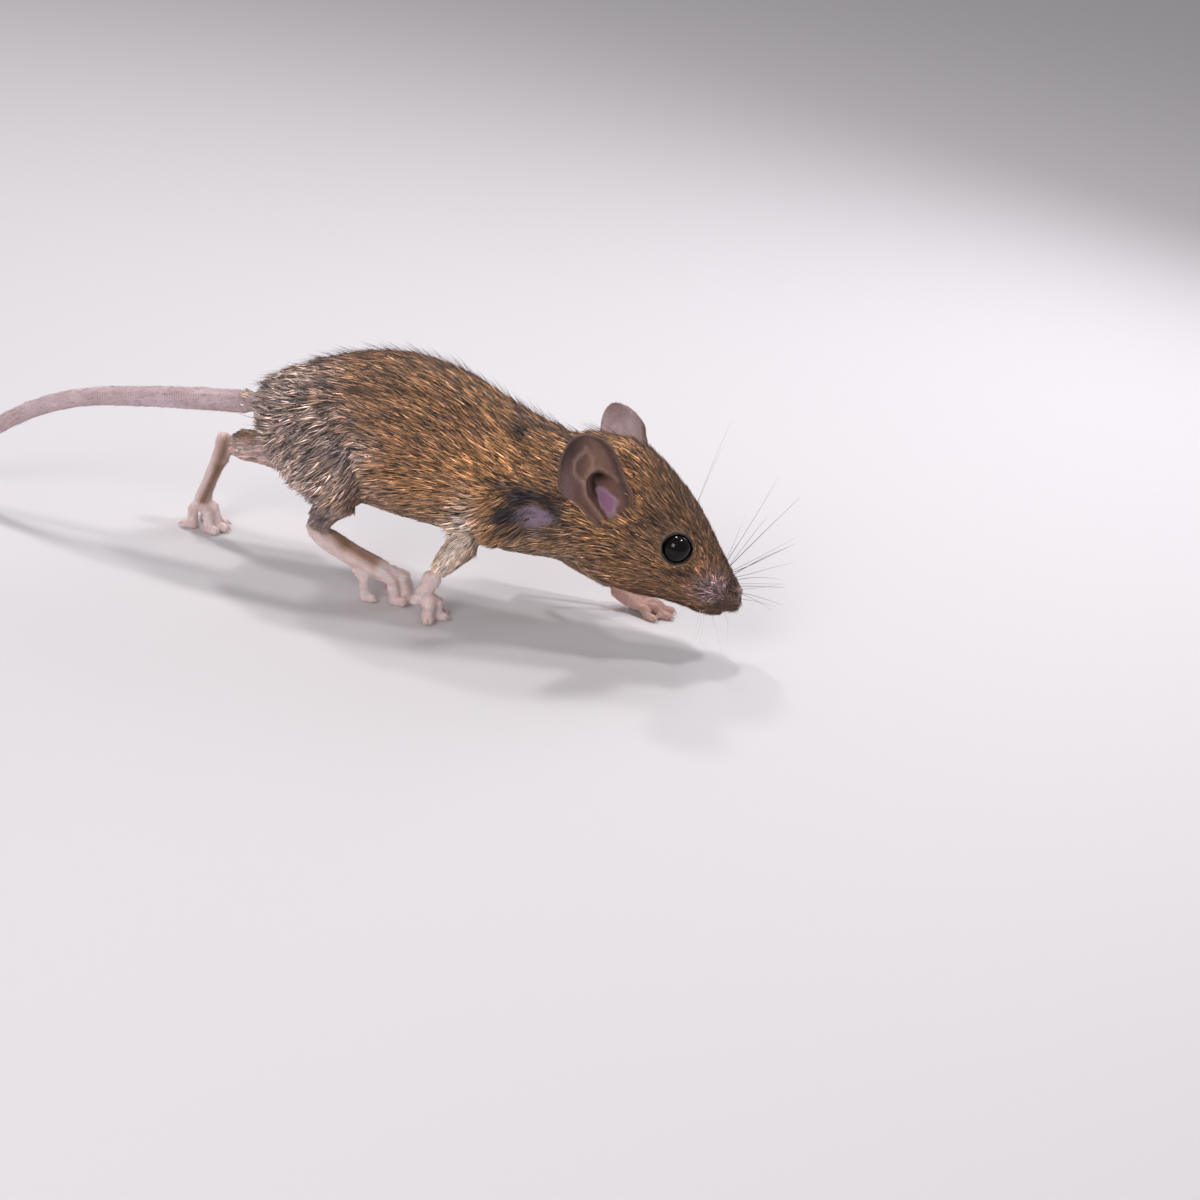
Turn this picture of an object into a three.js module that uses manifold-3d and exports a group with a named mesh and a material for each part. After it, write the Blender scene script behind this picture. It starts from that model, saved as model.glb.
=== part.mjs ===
// A live wild mouse in mid stride, at life size and standing on its own toes.
//
// Millimetres. X runs forward to the nose, Y to the mouse's left and Z up from the floor.
// The outer surface is the outline of the coat: the hair lies inside these solids.
// At the end the whole animal is moved so that the origin is under the middle of its box.

import * as THREE from 'three';
import { mergeVertices } from 'three/addons/utils/BufferGeometryUtils.js';
import Module from 'manifold-3d';

const wasm = await Module();
wasm.setup();

// ---------------------------------------------------------------------------
// Driving dimensions
// ---------------------------------------------------------------------------

const GAP = 0.3; // clearance between two parts that meet
const FLAT = 0.26; // how far the toe pads are flattened on the floor

const EYE_RADIUS = 2.55;
const EAR_LENGTH = 17.4;
const EAR_WIDTH = 11.8;
const EAR_THICKNESS = 0.9;
const EAR_CUP = 2.6; // how far the rim stands forward of the middle
const CLAW_LENGTH = 1.3;
const CLAW_RADIUS = 0.38;
const CLAW_DROP = 0.45; // how steeply a claw points down, as a slope
const CLAW_SUNK = 0.35; // how far its toe holds a claw, in toe radii
const KNUCKLE_AT = 0.45; // where a toe's knuckle is, from its root at 0 to its tip at 1
const PAD_BEHIND = 1.3; // how far the pad's middle lies behind the tip, in toe radii
const TOE_GIRTHS = { root: 1.1, knuckle: 0.95, pad: 1, tip: 0.95 }; // in toe radii

// Stations along trunk, neck and head: the back line and the belly line as [x, z],
// and half the breadth there. The plane of each station runs through both points.
const BODY_STATIONS = [
  { name: 'tail root', back: [-19.6, 31.0], belly: [-17.6, 22.0], half: 4.6 },
  { name: 'rump', back: [-13.6, 34.8], belly: [-11.5, 18.2], half: 9.0 },
  { name: 'hip', back: [-6.4, 38.8], belly: [-5.0, 15.8], half: 11.2 },
  { name: 'loin', back: [1.5, 41.4], belly: [2.6, 14.6], half: 12.3 },
  { name: 'last rib', back: [8.6, 42.0], belly: [8.6, 13.8], half: 12.8 },
  { name: 'ribs', back: [15.6, 40.8], belly: [15.4, 13.2], half: 12.5 },
  { name: 'chest', back: [22.4, 38.4], belly: [22.0, 11.9], half: 11.3 },
  { name: 'withers', back: [28.6, 36.0], belly: [28.6, 11.3], half: 10.4 },
  { name: 'neck', back: [35.0, 34.6], belly: [35.2, 11.5], half: 9.6 },
  { name: 'nape', back: [41.4, 34.9], belly: [40.6, 11.0], half: 9.0 },
  { name: 'crown', back: [47.4, 34.4], belly: [45.2, 9.6], half: 9.0 },
  { name: 'brow', back: [52.4, 30.9], belly: [49.8, 8.9], half: 8.5 },
  { name: 'eyes', back: [57.0, 26.6], belly: [54.4, 8.8], half: 7.4 },
  { name: 'cheek', back: [60.2, 22.4], belly: [58.0, 8.3], half: 5.8 },
  { name: 'muzzle', back: [63.2, 17.8], belly: [61.2, 7.9], half: 4.6 },
  { name: 'lips', back: [65.4, 14.6], belly: [64.3, 8.6], half: 3.4 },
  { name: 'nose', back: [67.0, 13.6], belly: [66.6, 10.0], half: 1.9 },
];
const BODY_PEAR = 0.1; // the body is this much broader low down than high up

// Where head, neck and trunk part: a point on each cut and its lean from upright.
const HEAD_CUT = { x: 40.2, z: 22, lean: 0.16 };
const NECK_CUT = { x: 35.4, z: 22, lean: 0.06 };

// The tail leaves the rump, sinks in an arc and lies along the floor.
const TAIL_LINE = [
  { at: [-15.5, 0, 28.2], radius: 2.3 },
  { at: [-21.0, 0, 27.8], radius: 2.0 },
  { at: [-29.0, 0, 26.6], radius: 1.95 },
  { at: [-38.0, 0, 25.0], radius: 1.75 },
  { at: [-48.0, 0, 22.7], radius: 1.6 },
  { at: [-57.0, 0.2, 18.4], radius: 1.5 },
  { at: [-65.0, 0.8, 12.2], radius: 1.35 },
  { at: [-72.0, 1.8, 6.2], radius: 1.2 },
  { at: [-79.0, 3.2, 2.1], radius: 1.05 },
  { at: [-87.0, 5.2, 0.9], radius: 0.95 },
  { at: [-95.0, 8.2, 0.65], radius: 0.8 },
  { at: [-102.5, 12.4, 0.45], radius: 0.55 },
];
const TAIL_CUTS = [{ x: -46 }, { x: -75 }];

const COLOURS = {
  coat: 0x8a6238,
  greyCoat: 0x7d6a55,
  bareSkin: 0xc9a297,
  tailSkin: 0xa98b84,
  earSkin: 0x7d5f57,
  eye: 0x08070a,
};

// ---------------------------------------------------------------------------
// Shapes
// ---------------------------------------------------------------------------

const vector = (xyz) => new THREE.Vector3(...xyz);
const UP = new THREE.Vector3(0, 0, 1);
const LEFT = new THREE.Vector3(0, 1, 0);

/** A manifold solid from a closed geometry. */
function solid(geometry) {
  geometry.deleteAttribute('normal');
  geometry.deleteAttribute('uv');
  const merged = mergeVertices(geometry, 1e-4);
  const mesh = new wasm.Mesh({
    numProp: 3,
    vertProperties: merged.attributes.position.array,
    triVerts: merged.index.array,
  });
  return new wasm.Manifold(mesh);
}

/** Where a row of vertices lies along the sections, and how wide its ring has opened. */
function rowStation(row, rows, last, { caps, capRows }) {
  const nearest = Math.min(row, rows - row);
  if (nearest < capRows) {
    const turn = (nearest / capRows) * (Math.PI / 2);
    const inset = 1 - Math.cos(turn);
    const along = row === nearest ? caps[0] * inset : last - caps[1] * inset;
    return { along, open: Math.sin(turn) };
  }
  const share = (row - capRows) / (rows - 2 * capRows);
  return { along: caps[0] + share * (last - caps[0] - caps[1]), open: 1 };
}

/**
 * A closed body with round ends, swept through sections. Each section has a centre
 * and two half axes, `across` and `up`. `caps` is the length of each round end, counted
 * in sections, `capRows` its rings, and `pear` widens the body below its middle.
 */
function loft(sections, { sides, rows, caps, capRows = 3, pear = 0 }) {
  const curve = (key) => new THREE.CatmullRomCurve3(sections.map((s) => s[key]), false, 'catmullrom');
  const centres = curve('centre');
  const acrosses = curve('across');
  const ups = curve('up');
  const last = sections.length - 1;
  const geometry = new THREE.SphereGeometry(1, sides, rows);
  const { position } = geometry.attributes;
  for (let i = 0; i < position.count; i += 1) {
    const { along, open } = rowStation(Math.floor(i / (sides + 1)), rows, last, { caps, capRows });
    const turn = (i % (sides + 1)) * ((2 * Math.PI) / sides);
    const height = Math.sin(turn);
    const breadth = -Math.cos(turn) * (1 - pear * height);
    const point = centres.getPoint(along / last);
    point.addScaledVector(acrosses.getPoint(along / last), breadth * open);
    point.addScaledVector(ups.getPoint(along / last), height * open);
    position.setXYZ(i, point.x, point.y, point.z);
  }
  return solid(geometry);
}

/** Upright sections through pairs of points on the back line and the belly line. */
function bodySections(stations, grow = 0) {
  return stations.map(({ back, belly, half }) => {
    const top = new THREE.Vector3(back[0], 0, back[1]);
    const bottom = new THREE.Vector3(belly[0], 0, belly[1]);
    const up = top.clone().sub(bottom).multiplyScalar(0.5);
    const centre = bottom.clone().add(up);
    up.setLength(up.length() + grow);
    return { centre, across: LEFT.clone().multiplyScalar(half + grow), up };
  });
}

/**
 * Sections square to a bent line of points. `width` is half the size along `side`,
 * `depth` half the size at right angles to it, and `grow` swells the body all round.
 */
function limbSections(line, side, grow = 0) {
  return line.map(({ at, width, depth = width }, i) => {
    const before = vector(line[Math.max(i - 1, 0)].at);
    const after = vector(line[Math.min(i + 1, line.length - 1)].at);
    const along = after.clone().sub(before).normalize();
    const up = along.clone().cross(side).normalize();
    const across = up.clone().cross(along);
    const centre = vector(at);
    if (i === 0) centre.addScaledVector(along, -grow);
    if (i === line.length - 1) centre.addScaledVector(along, grow);
    return {
      centre,
      across: across.multiplyScalar(width + grow),
      up: up.multiplyScalar(depth + grow),
    };
  });
}

const joined = (solids) => solids.reduce((whole, next) => whole.add(next));
const without = (whole, cutters) => cutters.reduce((rest, cutter) => rest.subtract(cutter), whole);

/** The largest of the bodies that a cut leaves. */
function mainBody(cut) {
  const bodies = cut.decompose();
  return bodies.reduce((best, body) => (body.volume() > best.volume() ? body : best));
}

/** A thin upright slab across the animal, leaning back by an angle, that parts two pieces. */
function cuttingSlab({ x, z = 20, lean = 0 }) {
  const geometry = new THREE.BoxGeometry(GAP, 60, 80);
  geometry.rotateY(-lean);
  geometry.translate(x, 0, z);
  return solid(geometry);
}

/** The bodies that thin slabs part, from the rearmost to the foremost. */
function partedAlongX(whole, slabs) {
  const bodies = without(whole, slabs).decompose();
  const middle = (body) => body.boundingBox().min[0] + body.boundingBox().max[0];
  return bodies.filter((body) => body.volume() > 1).sort((a, b) => middle(a) - middle(b));
}

/** Everything under the floor, cut from whatever stands on it. */
function floorBlock() {
  const geometry = new THREE.BoxGeometry(300, 120, 10);
  geometry.translate(-20, 0, -5);
  return solid(geometry);
}

// ---------------------------------------------------------------------------
// Feet
// ---------------------------------------------------------------------------

/** A claw: a small cone from `from`, pointing ahead along `heading` and down. */
function claw(from, heading) {
  const geometry = new THREE.ConeGeometry(CLAW_RADIUS, CLAW_LENGTH, 4);
  const direction = heading.clone().addScaledVector(UP, -CLAW_DROP).normalize();
  const turn = new THREE.Quaternion().setFromUnitVectors(new THREE.Vector3(0, 1, 0), direction);
  geometry.applyQuaternion(turn);
  const middle = from.clone().addScaledVector(direction, CLAW_LENGTH * CLAW_SUNK);
  geometry.translate(...middle.toArray());
  return solid(geometry);
}

/**
 * A bent toe: it arches from its root and lies on a round pad that ends in a claw.
 * A tip with no height of its own rests on the floor.
 */
function toe({ root, tip, arch, radius }) {
  const start = vector(root);
  const end = new THREE.Vector3(tip[0], tip[1], tip[2] ?? radius * TOE_GIRTHS.tip - FLAT);
  const heading = end.clone().sub(start).setZ(0).normalize();
  const side = UP.clone().cross(heading);
  const knuckle = start.clone().lerp(end, KNUCKLE_AT);
  knuckle.z += arch;
  const pad = end.clone().addScaledVector(heading, -radius * PAD_BEHIND);
  const line = [
    { at: start.toArray(), width: radius * TOE_GIRTHS.root },
    { at: knuckle.toArray(), width: radius * TOE_GIRTHS.knuckle },
    { at: pad.toArray(), width: radius * TOE_GIRTHS.pad },
    { at: end.toArray(), width: radius * TOE_GIRTHS.tip },
  ];
  const flesh = loft(limbSections(line, side), { sides: 6, rows: 6, caps: [0.4, 0.5], capRows: 1 });
  const quick = end.clone().addScaledVector(heading, -radius * CLAW_SUNK);
  quick.z += radius * CLAW_SUNK;
  return flesh.add(claw(quick, heading));
}

/** A foot: its sole from heel to ball, with its toes. */
function foot({ sole, toes }) {
  const slipper = loft(limbSections(sole, LEFT), { sides: 8, rows: 10, caps: [0.6, 0.5], capRows: 2 });
  return joined([slipper, ...toes.map(toe)]);
}

// ---------------------------------------------------------------------------
// Limbs: the right side is the nearer one in a view from -Y
// ---------------------------------------------------------------------------

const LIMBS = {
  hind_leg_right: {
    upperName: 'thigh',
    lowerName: 'shank',
    footName: 'foot',
    upper: [
      { at: [-9.5, -5.2, 31.0], width: 3.6, depth: 6.0 },
      { at: [-6.0, -7.2, 27.6], width: 4.8, depth: 8.4 },
      { at: [-1.2, -8.6, 23.4], width: 5.0, depth: 8.2 },
      { at: [3.4, -9.4, 19.2], width: 3.7, depth: 5.2 },
    ],
    lower: [
      { at: [1.4, -9.3, 20.0], width: 3.4, depth: 4.3 },
      { at: [-0.9, -8.7, 17.2], width: 3.1, depth: 3.5 },
      { at: [-2.8, -7.9, 14.2], width: 2.5, depth: 2.8 },
      { at: [-3.8, -7.2, 11.2], width: 2.0, depth: 2.2 },
    ],
    sole: [
      { at: [-5.6, -7.2, 12.8], width: 1.1, depth: 1.2 },
      { at: [-2.9, -6.8, 10.2], width: 1.5, depth: 2.1 },
      { at: [1.0, -6.1, 7.9], width: 1.8, depth: 1.95 },
      { at: [5.4, -5.1, 5.8], width: 2.2, depth: 1.8 },
      { at: [9.6, -4.2, 4.0], width: 2.3, depth: 1.6 },
    ],
    toes: [
      { root: [3.6, -6.4, 5.0], tip: [6.7, -7.0], arch: 0.5, radius: 0.92 },
      { root: [7.8, -5.6, 4.6], tip: [11.7, -6.0], arch: 1.1, radius: 1.02 },
      { root: [9.0, -4.7, 4.8], tip: [13.5, -4.3], arch: 1.3, radius: 1.04 },
      { root: [9.0, -3.6, 4.8], tip: [13.6, -2.5], arch: 1.2, radius: 1.0 },
      { root: [6.4, -3.7, 4.8], tip: [9.4, -1.8], arch: 0.8, radius: 0.84 },
    ],
  },
  hind_leg_left: {
    upperName: 'thigh',
    lowerName: 'shank',
    footName: 'foot',
    upper: [
      { at: [-9.4, 5.2, 30.6], width: 3.6, depth: 5.8 },
      { at: [-8.4, 7.0, 26.6], width: 4.6, depth: 7.4 },
      { at: [-8.0, 8.2, 22.6], width: 4.7, depth: 7.2 },
      { at: [-8.2, 8.6, 18.6], width: 3.6, depth: 5.0 },
    ],
    lower: [
      { at: [-7.6, 8.5, 18.0], width: 3.4, depth: 4.9 },
      { at: [-13.0, 8.3, 17.4], width: 2.9, depth: 4.2 },
      { at: [-18.8, 8.1, 17.0], width: 2.7, depth: 3.5 },
      { at: [-24.4, 8.0, 16.6], width: 2.4, depth: 3.1 },
    ],
    sole: [
      { at: [-25.5, 8.0, 18.6], width: 1.3, depth: 1.2 },
      { at: [-24.9, 8.0, 15.6], width: 1.6, depth: 1.8 },
      { at: [-26.2, 8.0, 11.8], width: 1.4, depth: 1.3 },
      { at: [-27.6, 8.1, 7.2], width: 1.8, depth: 1.2 },
      { at: [-28.6, 8.2, 3.6], width: 2.1, depth: 1.4 },
    ],
    toes: [
      { root: [-28.4, 7.3, 4.8], tip: [-30.3, 6.6], arch: 0.6, radius: 0.95 },
      { root: [-28.0, 7.4, 4.2], tip: [-25.0, 6.0], arch: 0.9, radius: 0.94 },
      { root: [-28.0, 8.2, 4.0], tip: [-23.8, 8.0], arch: 1.2, radius: 0.96 },
      { root: [-28.0, 9.0, 4.2], tip: [-24.5, 10.3], arch: 1.0, radius: 0.9 },
      { root: [-27.6, 9.2, 6.2], tip: [-28.6, 12.0], arch: 0.5, radius: 0.82 },
    ],
  },
  foreleg_right: {
    upperName: 'upper_arm',
    lowerName: 'forearm',
    footName: 'paw',
    upper: [
      { at: [32.0, -5.6, 24.6], width: 3.0, depth: 5.2 },
      { at: [28.8, -7.2, 21.6], width: 3.6, depth: 5.6 },
      { at: [25.2, -8.2, 18.6], width: 3.5, depth: 4.8 },
      { at: [22.2, -8.6, 16.6], width: 2.8, depth: 3.4 },
    ],
    lower: [
      { at: [22.4, -8.7, 17.2], width: 2.7, depth: 3.5 },
      { at: [20.6, -8.6, 13.8], width: 2.3, depth: 3.0 },
      { at: [18.6, -8.5, 10.6], width: 1.9, depth: 2.4 },
      { at: [17.4, -8.4, 8.4], width: 1.5, depth: 1.9 },
    ],
    sole: [
      { at: [17.7, -8.3, 9.1], width: 1.3, depth: 1.5 },
      { at: [16.6, -8.4, 6.9], width: 1.5, depth: 1.6 },
      { at: [16.2, -8.5, 4.9], width: 1.6, depth: 1.3 },
      { at: [16.8, -8.5, 2.8], width: 1.6, depth: 1.0 },
    ],
    toes: [
      { root: [16.0, -9.0, 5.8], tip: [14.6, -9.9, 3.5], arch: 0.3, radius: 1.0 },
      { root: [16.9, -9.0, 3.8], tip: [17.3, -10.7], arch: 0.5, radius: 1.1 },
      { root: [17.2, -8.2, 3.4], tip: [19.4, -8.0], arch: 0.7, radius: 0.88 },
      { root: [17.0, -7.4, 3.4], tip: [19.0, -5.8], arch: 0.6, radius: 0.8 },
    ],
  },
  foreleg_left: {
    upperName: 'upper_arm',
    lowerName: 'forearm',
    footName: 'paw',
    upper: [
      { at: [32.4, 5.6, 24.4], width: 3.0, depth: 5.2 },
      { at: [31.2, 7.2, 20.8], width: 3.5, depth: 5.4 },
      { at: [30.2, 8.4, 17.0], width: 3.4, depth: 4.6 },
      { at: [29.8, 9.2, 13.6], width: 2.8, depth: 3.4 },
    ],
    lower: [
      { at: [29.6, 9.4, 13.0], width: 2.6, depth: 3.3 },
      { at: [35.0, 10.2, 9.2], width: 2.2, depth: 2.6 },
      { at: [40.6, 10.9, 6.0], width: 1.6, depth: 1.9 },
      { at: [44.6, 11.3, 3.9], width: 1.3, depth: 1.4 },
    ],
    sole: [
      { at: [44.2, 11.3, 4.1], width: 1.2, depth: 1.3 },
      { at: [46.4, 11.5, 2.5], width: 1.6, depth: 1.4 },
      { at: [48.8, 11.6, 1.5], width: 2.0, depth: 1.2 },
      { at: [50.8, 11.7, 1.1], width: 1.9, depth: 1.0 },
    ],
    toes: [
      { root: [49.0, 10.4, 1.4], tip: [52.6, 8.6], arch: 0.5, radius: 0.76 },
      { root: [50.2, 11.2, 1.4], tip: [55.0, 10.6], arch: 0.6, radius: 0.84 },
      { root: [50.2, 12.2, 1.4], tip: [55.0, 13.0], arch: 0.6, radius: 0.84 },
      { root: [49.0, 13.0, 1.4], tip: [52.4, 15.0], arch: 0.5, radius: 0.76 },
    ],
  },
};

/** The three pieces of one leg, with copies swollen by the gap to cut their neighbours. */
function limb({ upper, lower, sole, toes }) {
  const upperOptions = { sides: 11, rows: 10, caps: [0.9, 0.8] };
  const lowerOptions = { sides: 9, rows: 9, caps: [0.5, 0.4], capRows: 2 };
  return {
    upper: loft(limbSections(upper, LEFT), upperOptions),
    grownUpper: loft(limbSections(upper, LEFT, GAP), upperOptions),
    lower: loft(limbSections(lower, LEFT), lowerOptions),
    grownLower: loft(limbSections(lower, LEFT, GAP), lowerOptions),
    foot: foot({ sole, toes }),
  };
}

// ---------------------------------------------------------------------------
// Muzzle, ears and eyes
// ---------------------------------------------------------------------------

const WHISKER_PAD = { at: [61.8, 2.6, 11.6], radii: [3.8, 2.5, 3.1] };

const EARS = {
  ear_right: { base: [43.4, -8.4, 22.0], tip: [37.6, -12.4, 38.2], facing: [0.4, -0.83, 0.38] },
  ear_left: { base: [43.8, 7.6, 22.2], tip: [40.4, 10.2, 37.2], facing: [0.46, 0.84, 0.22] },
};

const EYES = {
  eye_right: [55.3, -5.6, 20.5],
  eye_left: [55.3, 5.6, 20.5],
};

/** The two pads that the whiskers grow from, one on each side of the muzzle. */
function whiskerPads({ at, radii }) {
  return [-1, 1].map((side) => {
    const geometry = new THREE.SphereGeometry(1, 10, 7);
    geometry.scale(...radii);
    geometry.translate(at[0], side * at[1], at[2]);
    return solid(geometry);
  });
}

/** A thin oval ear cupped towards `facing`, narrow at its base. */
function ear({ base, tip, facing }) {
  const along = vector(tip).sub(vector(base)).normalize();
  const across = along.clone().cross(vector(facing)).normalize();
  const out = across.clone().cross(along);
  const middle = vector(tip).addScaledVector(along, -EAR_LENGTH / 2);
  const geometry = new THREE.SphereGeometry(1, 16, 9);
  const { position } = geometry.attributes;
  for (let i = 0; i < position.count; i += 1) {
    const unit = new THREE.Vector3().fromBufferAttribute(position, i);
    const narrowing = 1 - 0.34 * Math.max(-unit.y, 0) ** 2;
    const thickness = Math.sign(unit.z) * Math.abs(unit.z) ** 0.4;
    const cup = EAR_CUP * (unit.x ** 2 + 0.35 * unit.y ** 2 - 0.5);
    const point = middle.clone();
    point.addScaledVector(across, unit.x * narrowing * (EAR_WIDTH / 2));
    point.addScaledVector(along, unit.y * (EAR_LENGTH / 2));
    point.addScaledVector(out, thickness * (EAR_THICKNESS / 2) + cup);
    position.setXYZ(i, point.x, point.y, point.z);
  }
  return solid(geometry);
}

/** An eyeball, as large as its radius says. */
function eyeball(centre, radius) {
  const geometry = new THREE.SphereGeometry(radius, 12, 8);
  geometry.translate(...centre);
  return solid(geometry);
}

// ---------------------------------------------------------------------------
// Assembly
// ---------------------------------------------------------------------------

const bodyOptions = { sides: 20, rows: 34, caps: [0.8, 0.6], pear: BODY_PEAR };
const body = joined([loft(bodySections(BODY_STATIONS), bodyOptions), ...whiskerPads(WHISKER_PAD)]);
const grownBody = loft(bodySections(BODY_STATIONS, GAP), bodyOptions);

const tailLine = TAIL_LINE.map(({ at, radius }) => ({ at, width: radius }));
const tailOptions = { sides: 8, rows: 28, caps: [0.5, 0.6] };
const tail = loft(limbSections(tailLine, LEFT), tailOptions);

const pieces = {};
const floor = floorBlock();

for (const [name, plan] of Object.entries(LIMBS)) {
  const leg = limb(plan);
  pieces[`${name}_${plan.upperName}`] = leg.upper;
  pieces[`${name}_${plan.lowerName}`] = mainBody(without(leg.lower, [leg.grownUpper, grownBody]));
  pieces[`${name}_${plan.footName}`] = mainBody(without(leg.foot, [leg.grownLower, floor]));
  plan.cutter = leg.grownUpper;
}

const upperCutters = Object.values(LIMBS).map((plan) => plan.cutter);
const eyeCutters = Object.values(EYES).map((centre) => eyeball(centre, EYE_RADIUS + GAP));
const carved = without(body, [...upperCutters, ...eyeCutters]);
const slabs = [NECK_CUT, HEAD_CUT].map(cuttingSlab);
[pieces.trunk, pieces.neck, pieces.head] = partedAlongX(carved, slabs);

const freeTail = mainBody(without(tail, [grownBody, floor]));
const tailSlabs = TAIL_CUTS.map(cuttingSlab);
[pieces.tail_tip, pieces.tail_middle, pieces.tail_base] = partedAlongX(freeTail, tailSlabs);

for (const [name, plan] of Object.entries(EARS)) {
  pieces[name] = mainBody(ear(plan).subtract(grownBody));
}
for (const [name, centre] of Object.entries(EYES)) {
  pieces[name] = eyeball(centre, EYE_RADIUS);
}

// ---------------------------------------------------------------------------
// Meshes
// ---------------------------------------------------------------------------

/** The material of a piece, by what covers it. */
function covering(name) {
  if (name.startsWith('eye')) {
    return new THREE.MeshStandardMaterial({ color: COLOURS.eye, roughness: 0.08, metalness: 0 });
  }
  let color = COLOURS.coat;
  if (name.startsWith('ear')) color = COLOURS.earSkin;
  if (name.startsWith('tail')) color = COLOURS.tailSkin;
  if (/foot|paw/.test(name)) color = COLOURS.bareSkin;
  if (/thigh|shank/.test(name)) color = COLOURS.greyCoat;
  return new THREE.MeshStandardMaterial({ color, roughness: 0.8, metalness: 0 });
}

/** A named mesh of one solid. */
function meshOf(name, piece) {
  const { vertProperties, triVerts } = piece.getMesh();
  const geometry = new THREE.BufferGeometry();
  geometry.setAttribute('position', new THREE.BufferAttribute(vertProperties, 3));
  geometry.setIndex(new THREE.BufferAttribute(triVerts, 1));
  geometry.computeVertexNormals();
  const mesh = new THREE.Mesh(geometry, covering(name));
  mesh.name = name;
  return mesh;
}

const group = new THREE.Group();
for (const [name, piece] of Object.entries(pieces)) {
  group.add(meshOf(name, piece));
}

const box = new THREE.Box3().setFromObject(group);
const middle = box.getCenter(new THREE.Vector3());
group.position.set(-middle.x, -middle.y, -box.min.z);

export default group;
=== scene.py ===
# %% [markdown]
# # A wild mouse in mid stride
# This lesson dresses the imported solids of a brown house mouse: one skin over the flesh,
# glossy eyes, claws, whiskers and a coat of many thousand small tufts. The solids are the
# frame. They say where everything is, and they give the outline out to the coat's tips.

import math

import bmesh
import bpy
import numpy as np
from mathutils import Matrix, Vector
from mathutils.bvhtree import BVHTree
from mathutils.kdtree import KDTree


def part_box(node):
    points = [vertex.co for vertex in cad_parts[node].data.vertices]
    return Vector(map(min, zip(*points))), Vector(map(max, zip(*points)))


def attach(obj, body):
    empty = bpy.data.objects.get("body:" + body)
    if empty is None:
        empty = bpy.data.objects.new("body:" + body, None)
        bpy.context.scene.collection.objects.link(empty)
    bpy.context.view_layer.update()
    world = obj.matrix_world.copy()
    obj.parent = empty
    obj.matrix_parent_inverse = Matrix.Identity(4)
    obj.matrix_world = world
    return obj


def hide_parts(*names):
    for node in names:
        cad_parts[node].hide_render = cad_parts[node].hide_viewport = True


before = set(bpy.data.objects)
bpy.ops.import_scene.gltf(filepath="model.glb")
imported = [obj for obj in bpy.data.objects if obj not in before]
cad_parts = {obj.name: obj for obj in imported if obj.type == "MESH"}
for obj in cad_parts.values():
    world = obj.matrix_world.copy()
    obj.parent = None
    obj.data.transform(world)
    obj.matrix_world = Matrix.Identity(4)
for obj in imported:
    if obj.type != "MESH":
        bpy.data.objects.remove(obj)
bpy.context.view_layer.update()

# %% [markdown]
# ## One ruler for the whole animal
# A mouse is small, so every measure below is in millimetres on the animal: X runs forward
# to the nose, Y to its left and Z up from the floor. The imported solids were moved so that
# the origin lies under the middle of their box. The near eye tells how far.

# %% Millimetres on the mouse, and metres in the frame
MM = 0.001
EYE_MIDDLE = np.array([55.3, -5.6, 20.5])
eye_low, eye_high = (np.array(corner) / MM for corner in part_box("eye_right"))
SHIFT = (eye_low + eye_high) / 2 - EYE_MIDDLE


def on_mouse(metres):
    """Points of the frame as millimetres on the mouse."""
    return np.asarray(metres, float) / MM - SHIFT


def in_frame(millimetres):
    """Points on the mouse, in millimetres, as points of the frame."""
    return (np.asarray(millimetres, float) + SHIFT) * MM


def unit(vectors):
    """The same directions with a length of one."""
    vectors = np.asarray(vectors, float)
    return vectors / np.maximum(np.linalg.norm(vectors, axis=-1, keepdims=True), 1e-9)


def ease(low, high, value):
    """0 below low, 1 above high, and a smooth rise between them. Low may be the larger."""
    t = np.clip((value - low) / (high - low), 0, 1)
    return t * t * (3 - 2 * t)


def new_object(name, data):
    """An object that shows its data, in the scene."""
    made = bpy.data.objects.new(name, data)
    bpy.context.scene.collection.objects.link(made)
    return made


def mesh_of(name, shape):
    """A mesh from a bmesh, which is freed."""
    mesh = bpy.data.meshes.new(name)
    shape.to_mesh(mesh)
    shape.free()
    return mesh


print("shift of the frame in mm:", SHIFT.round(3))

# %% [markdown]
# ## The camera
# The camera looks down at the mouse's right side, a little from the front, and is tipped
# sideways, so that the animal seems to hurry downhill. It is set by angles and a distance
# from a point near the muzzle, as one would note them down beside a tripod.

# %% Camera
CAMERA_ANGLES = {"azimuth": 5.5, "elevation": 25.0, "roll": 9.67}
CAMERA_DISTANCE = 390.29
CAMERA_LENS = 69.82
CAMERA_AIM = (43.98, 0.0, 5.86)


def camera_axes(azimuth, elevation, roll):
    """Right, up and back of a camera that looks from -Y, turned by three angles in degrees."""
    azimuth, elevation, roll = (math.radians(angle) for angle in (azimuth, elevation, roll))
    back = Vector((math.sin(azimuth), -math.cos(azimuth), math.tan(elevation))).normalized()
    right = Vector((0, 0, 1)).cross(back).normalized()
    up = back.cross(right)
    tipped_right = math.cos(roll) * right + math.sin(roll) * up
    tipped_up = math.cos(roll) * up - math.sin(roll) * right
    return tipped_right, tipped_up, back


right, up, back = camera_axes(**CAMERA_ANGLES)
camera = new_object("camera", bpy.data.cameras.new("camera"))
camera.data.lens = CAMERA_LENS
camera.data.sensor_width = 36
camera.data.clip_start = 0.01
standpoint = Vector(in_frame(CAMERA_AIM)) + back * CAMERA_DISTANCE * MM
camera.matrix_world = Matrix.Translation(standpoint) @ Matrix((right, up, back)).transposed().to_4x4()
bpy.context.scene.camera = camera
print("camera stands at", [round(c, 4) for c in standpoint])

# %% [markdown]
# ## Floor and light
# Small animals are lit like small products: large soft lamps close by, so that the hair
# keeps its depth. Three smaller ones hang in a row overhead, and the wet eye mirrors them
# as bright points. A broad one stands to the front left, a dim one behind lights the rim,
# and a pale sky fills the shade.

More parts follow.
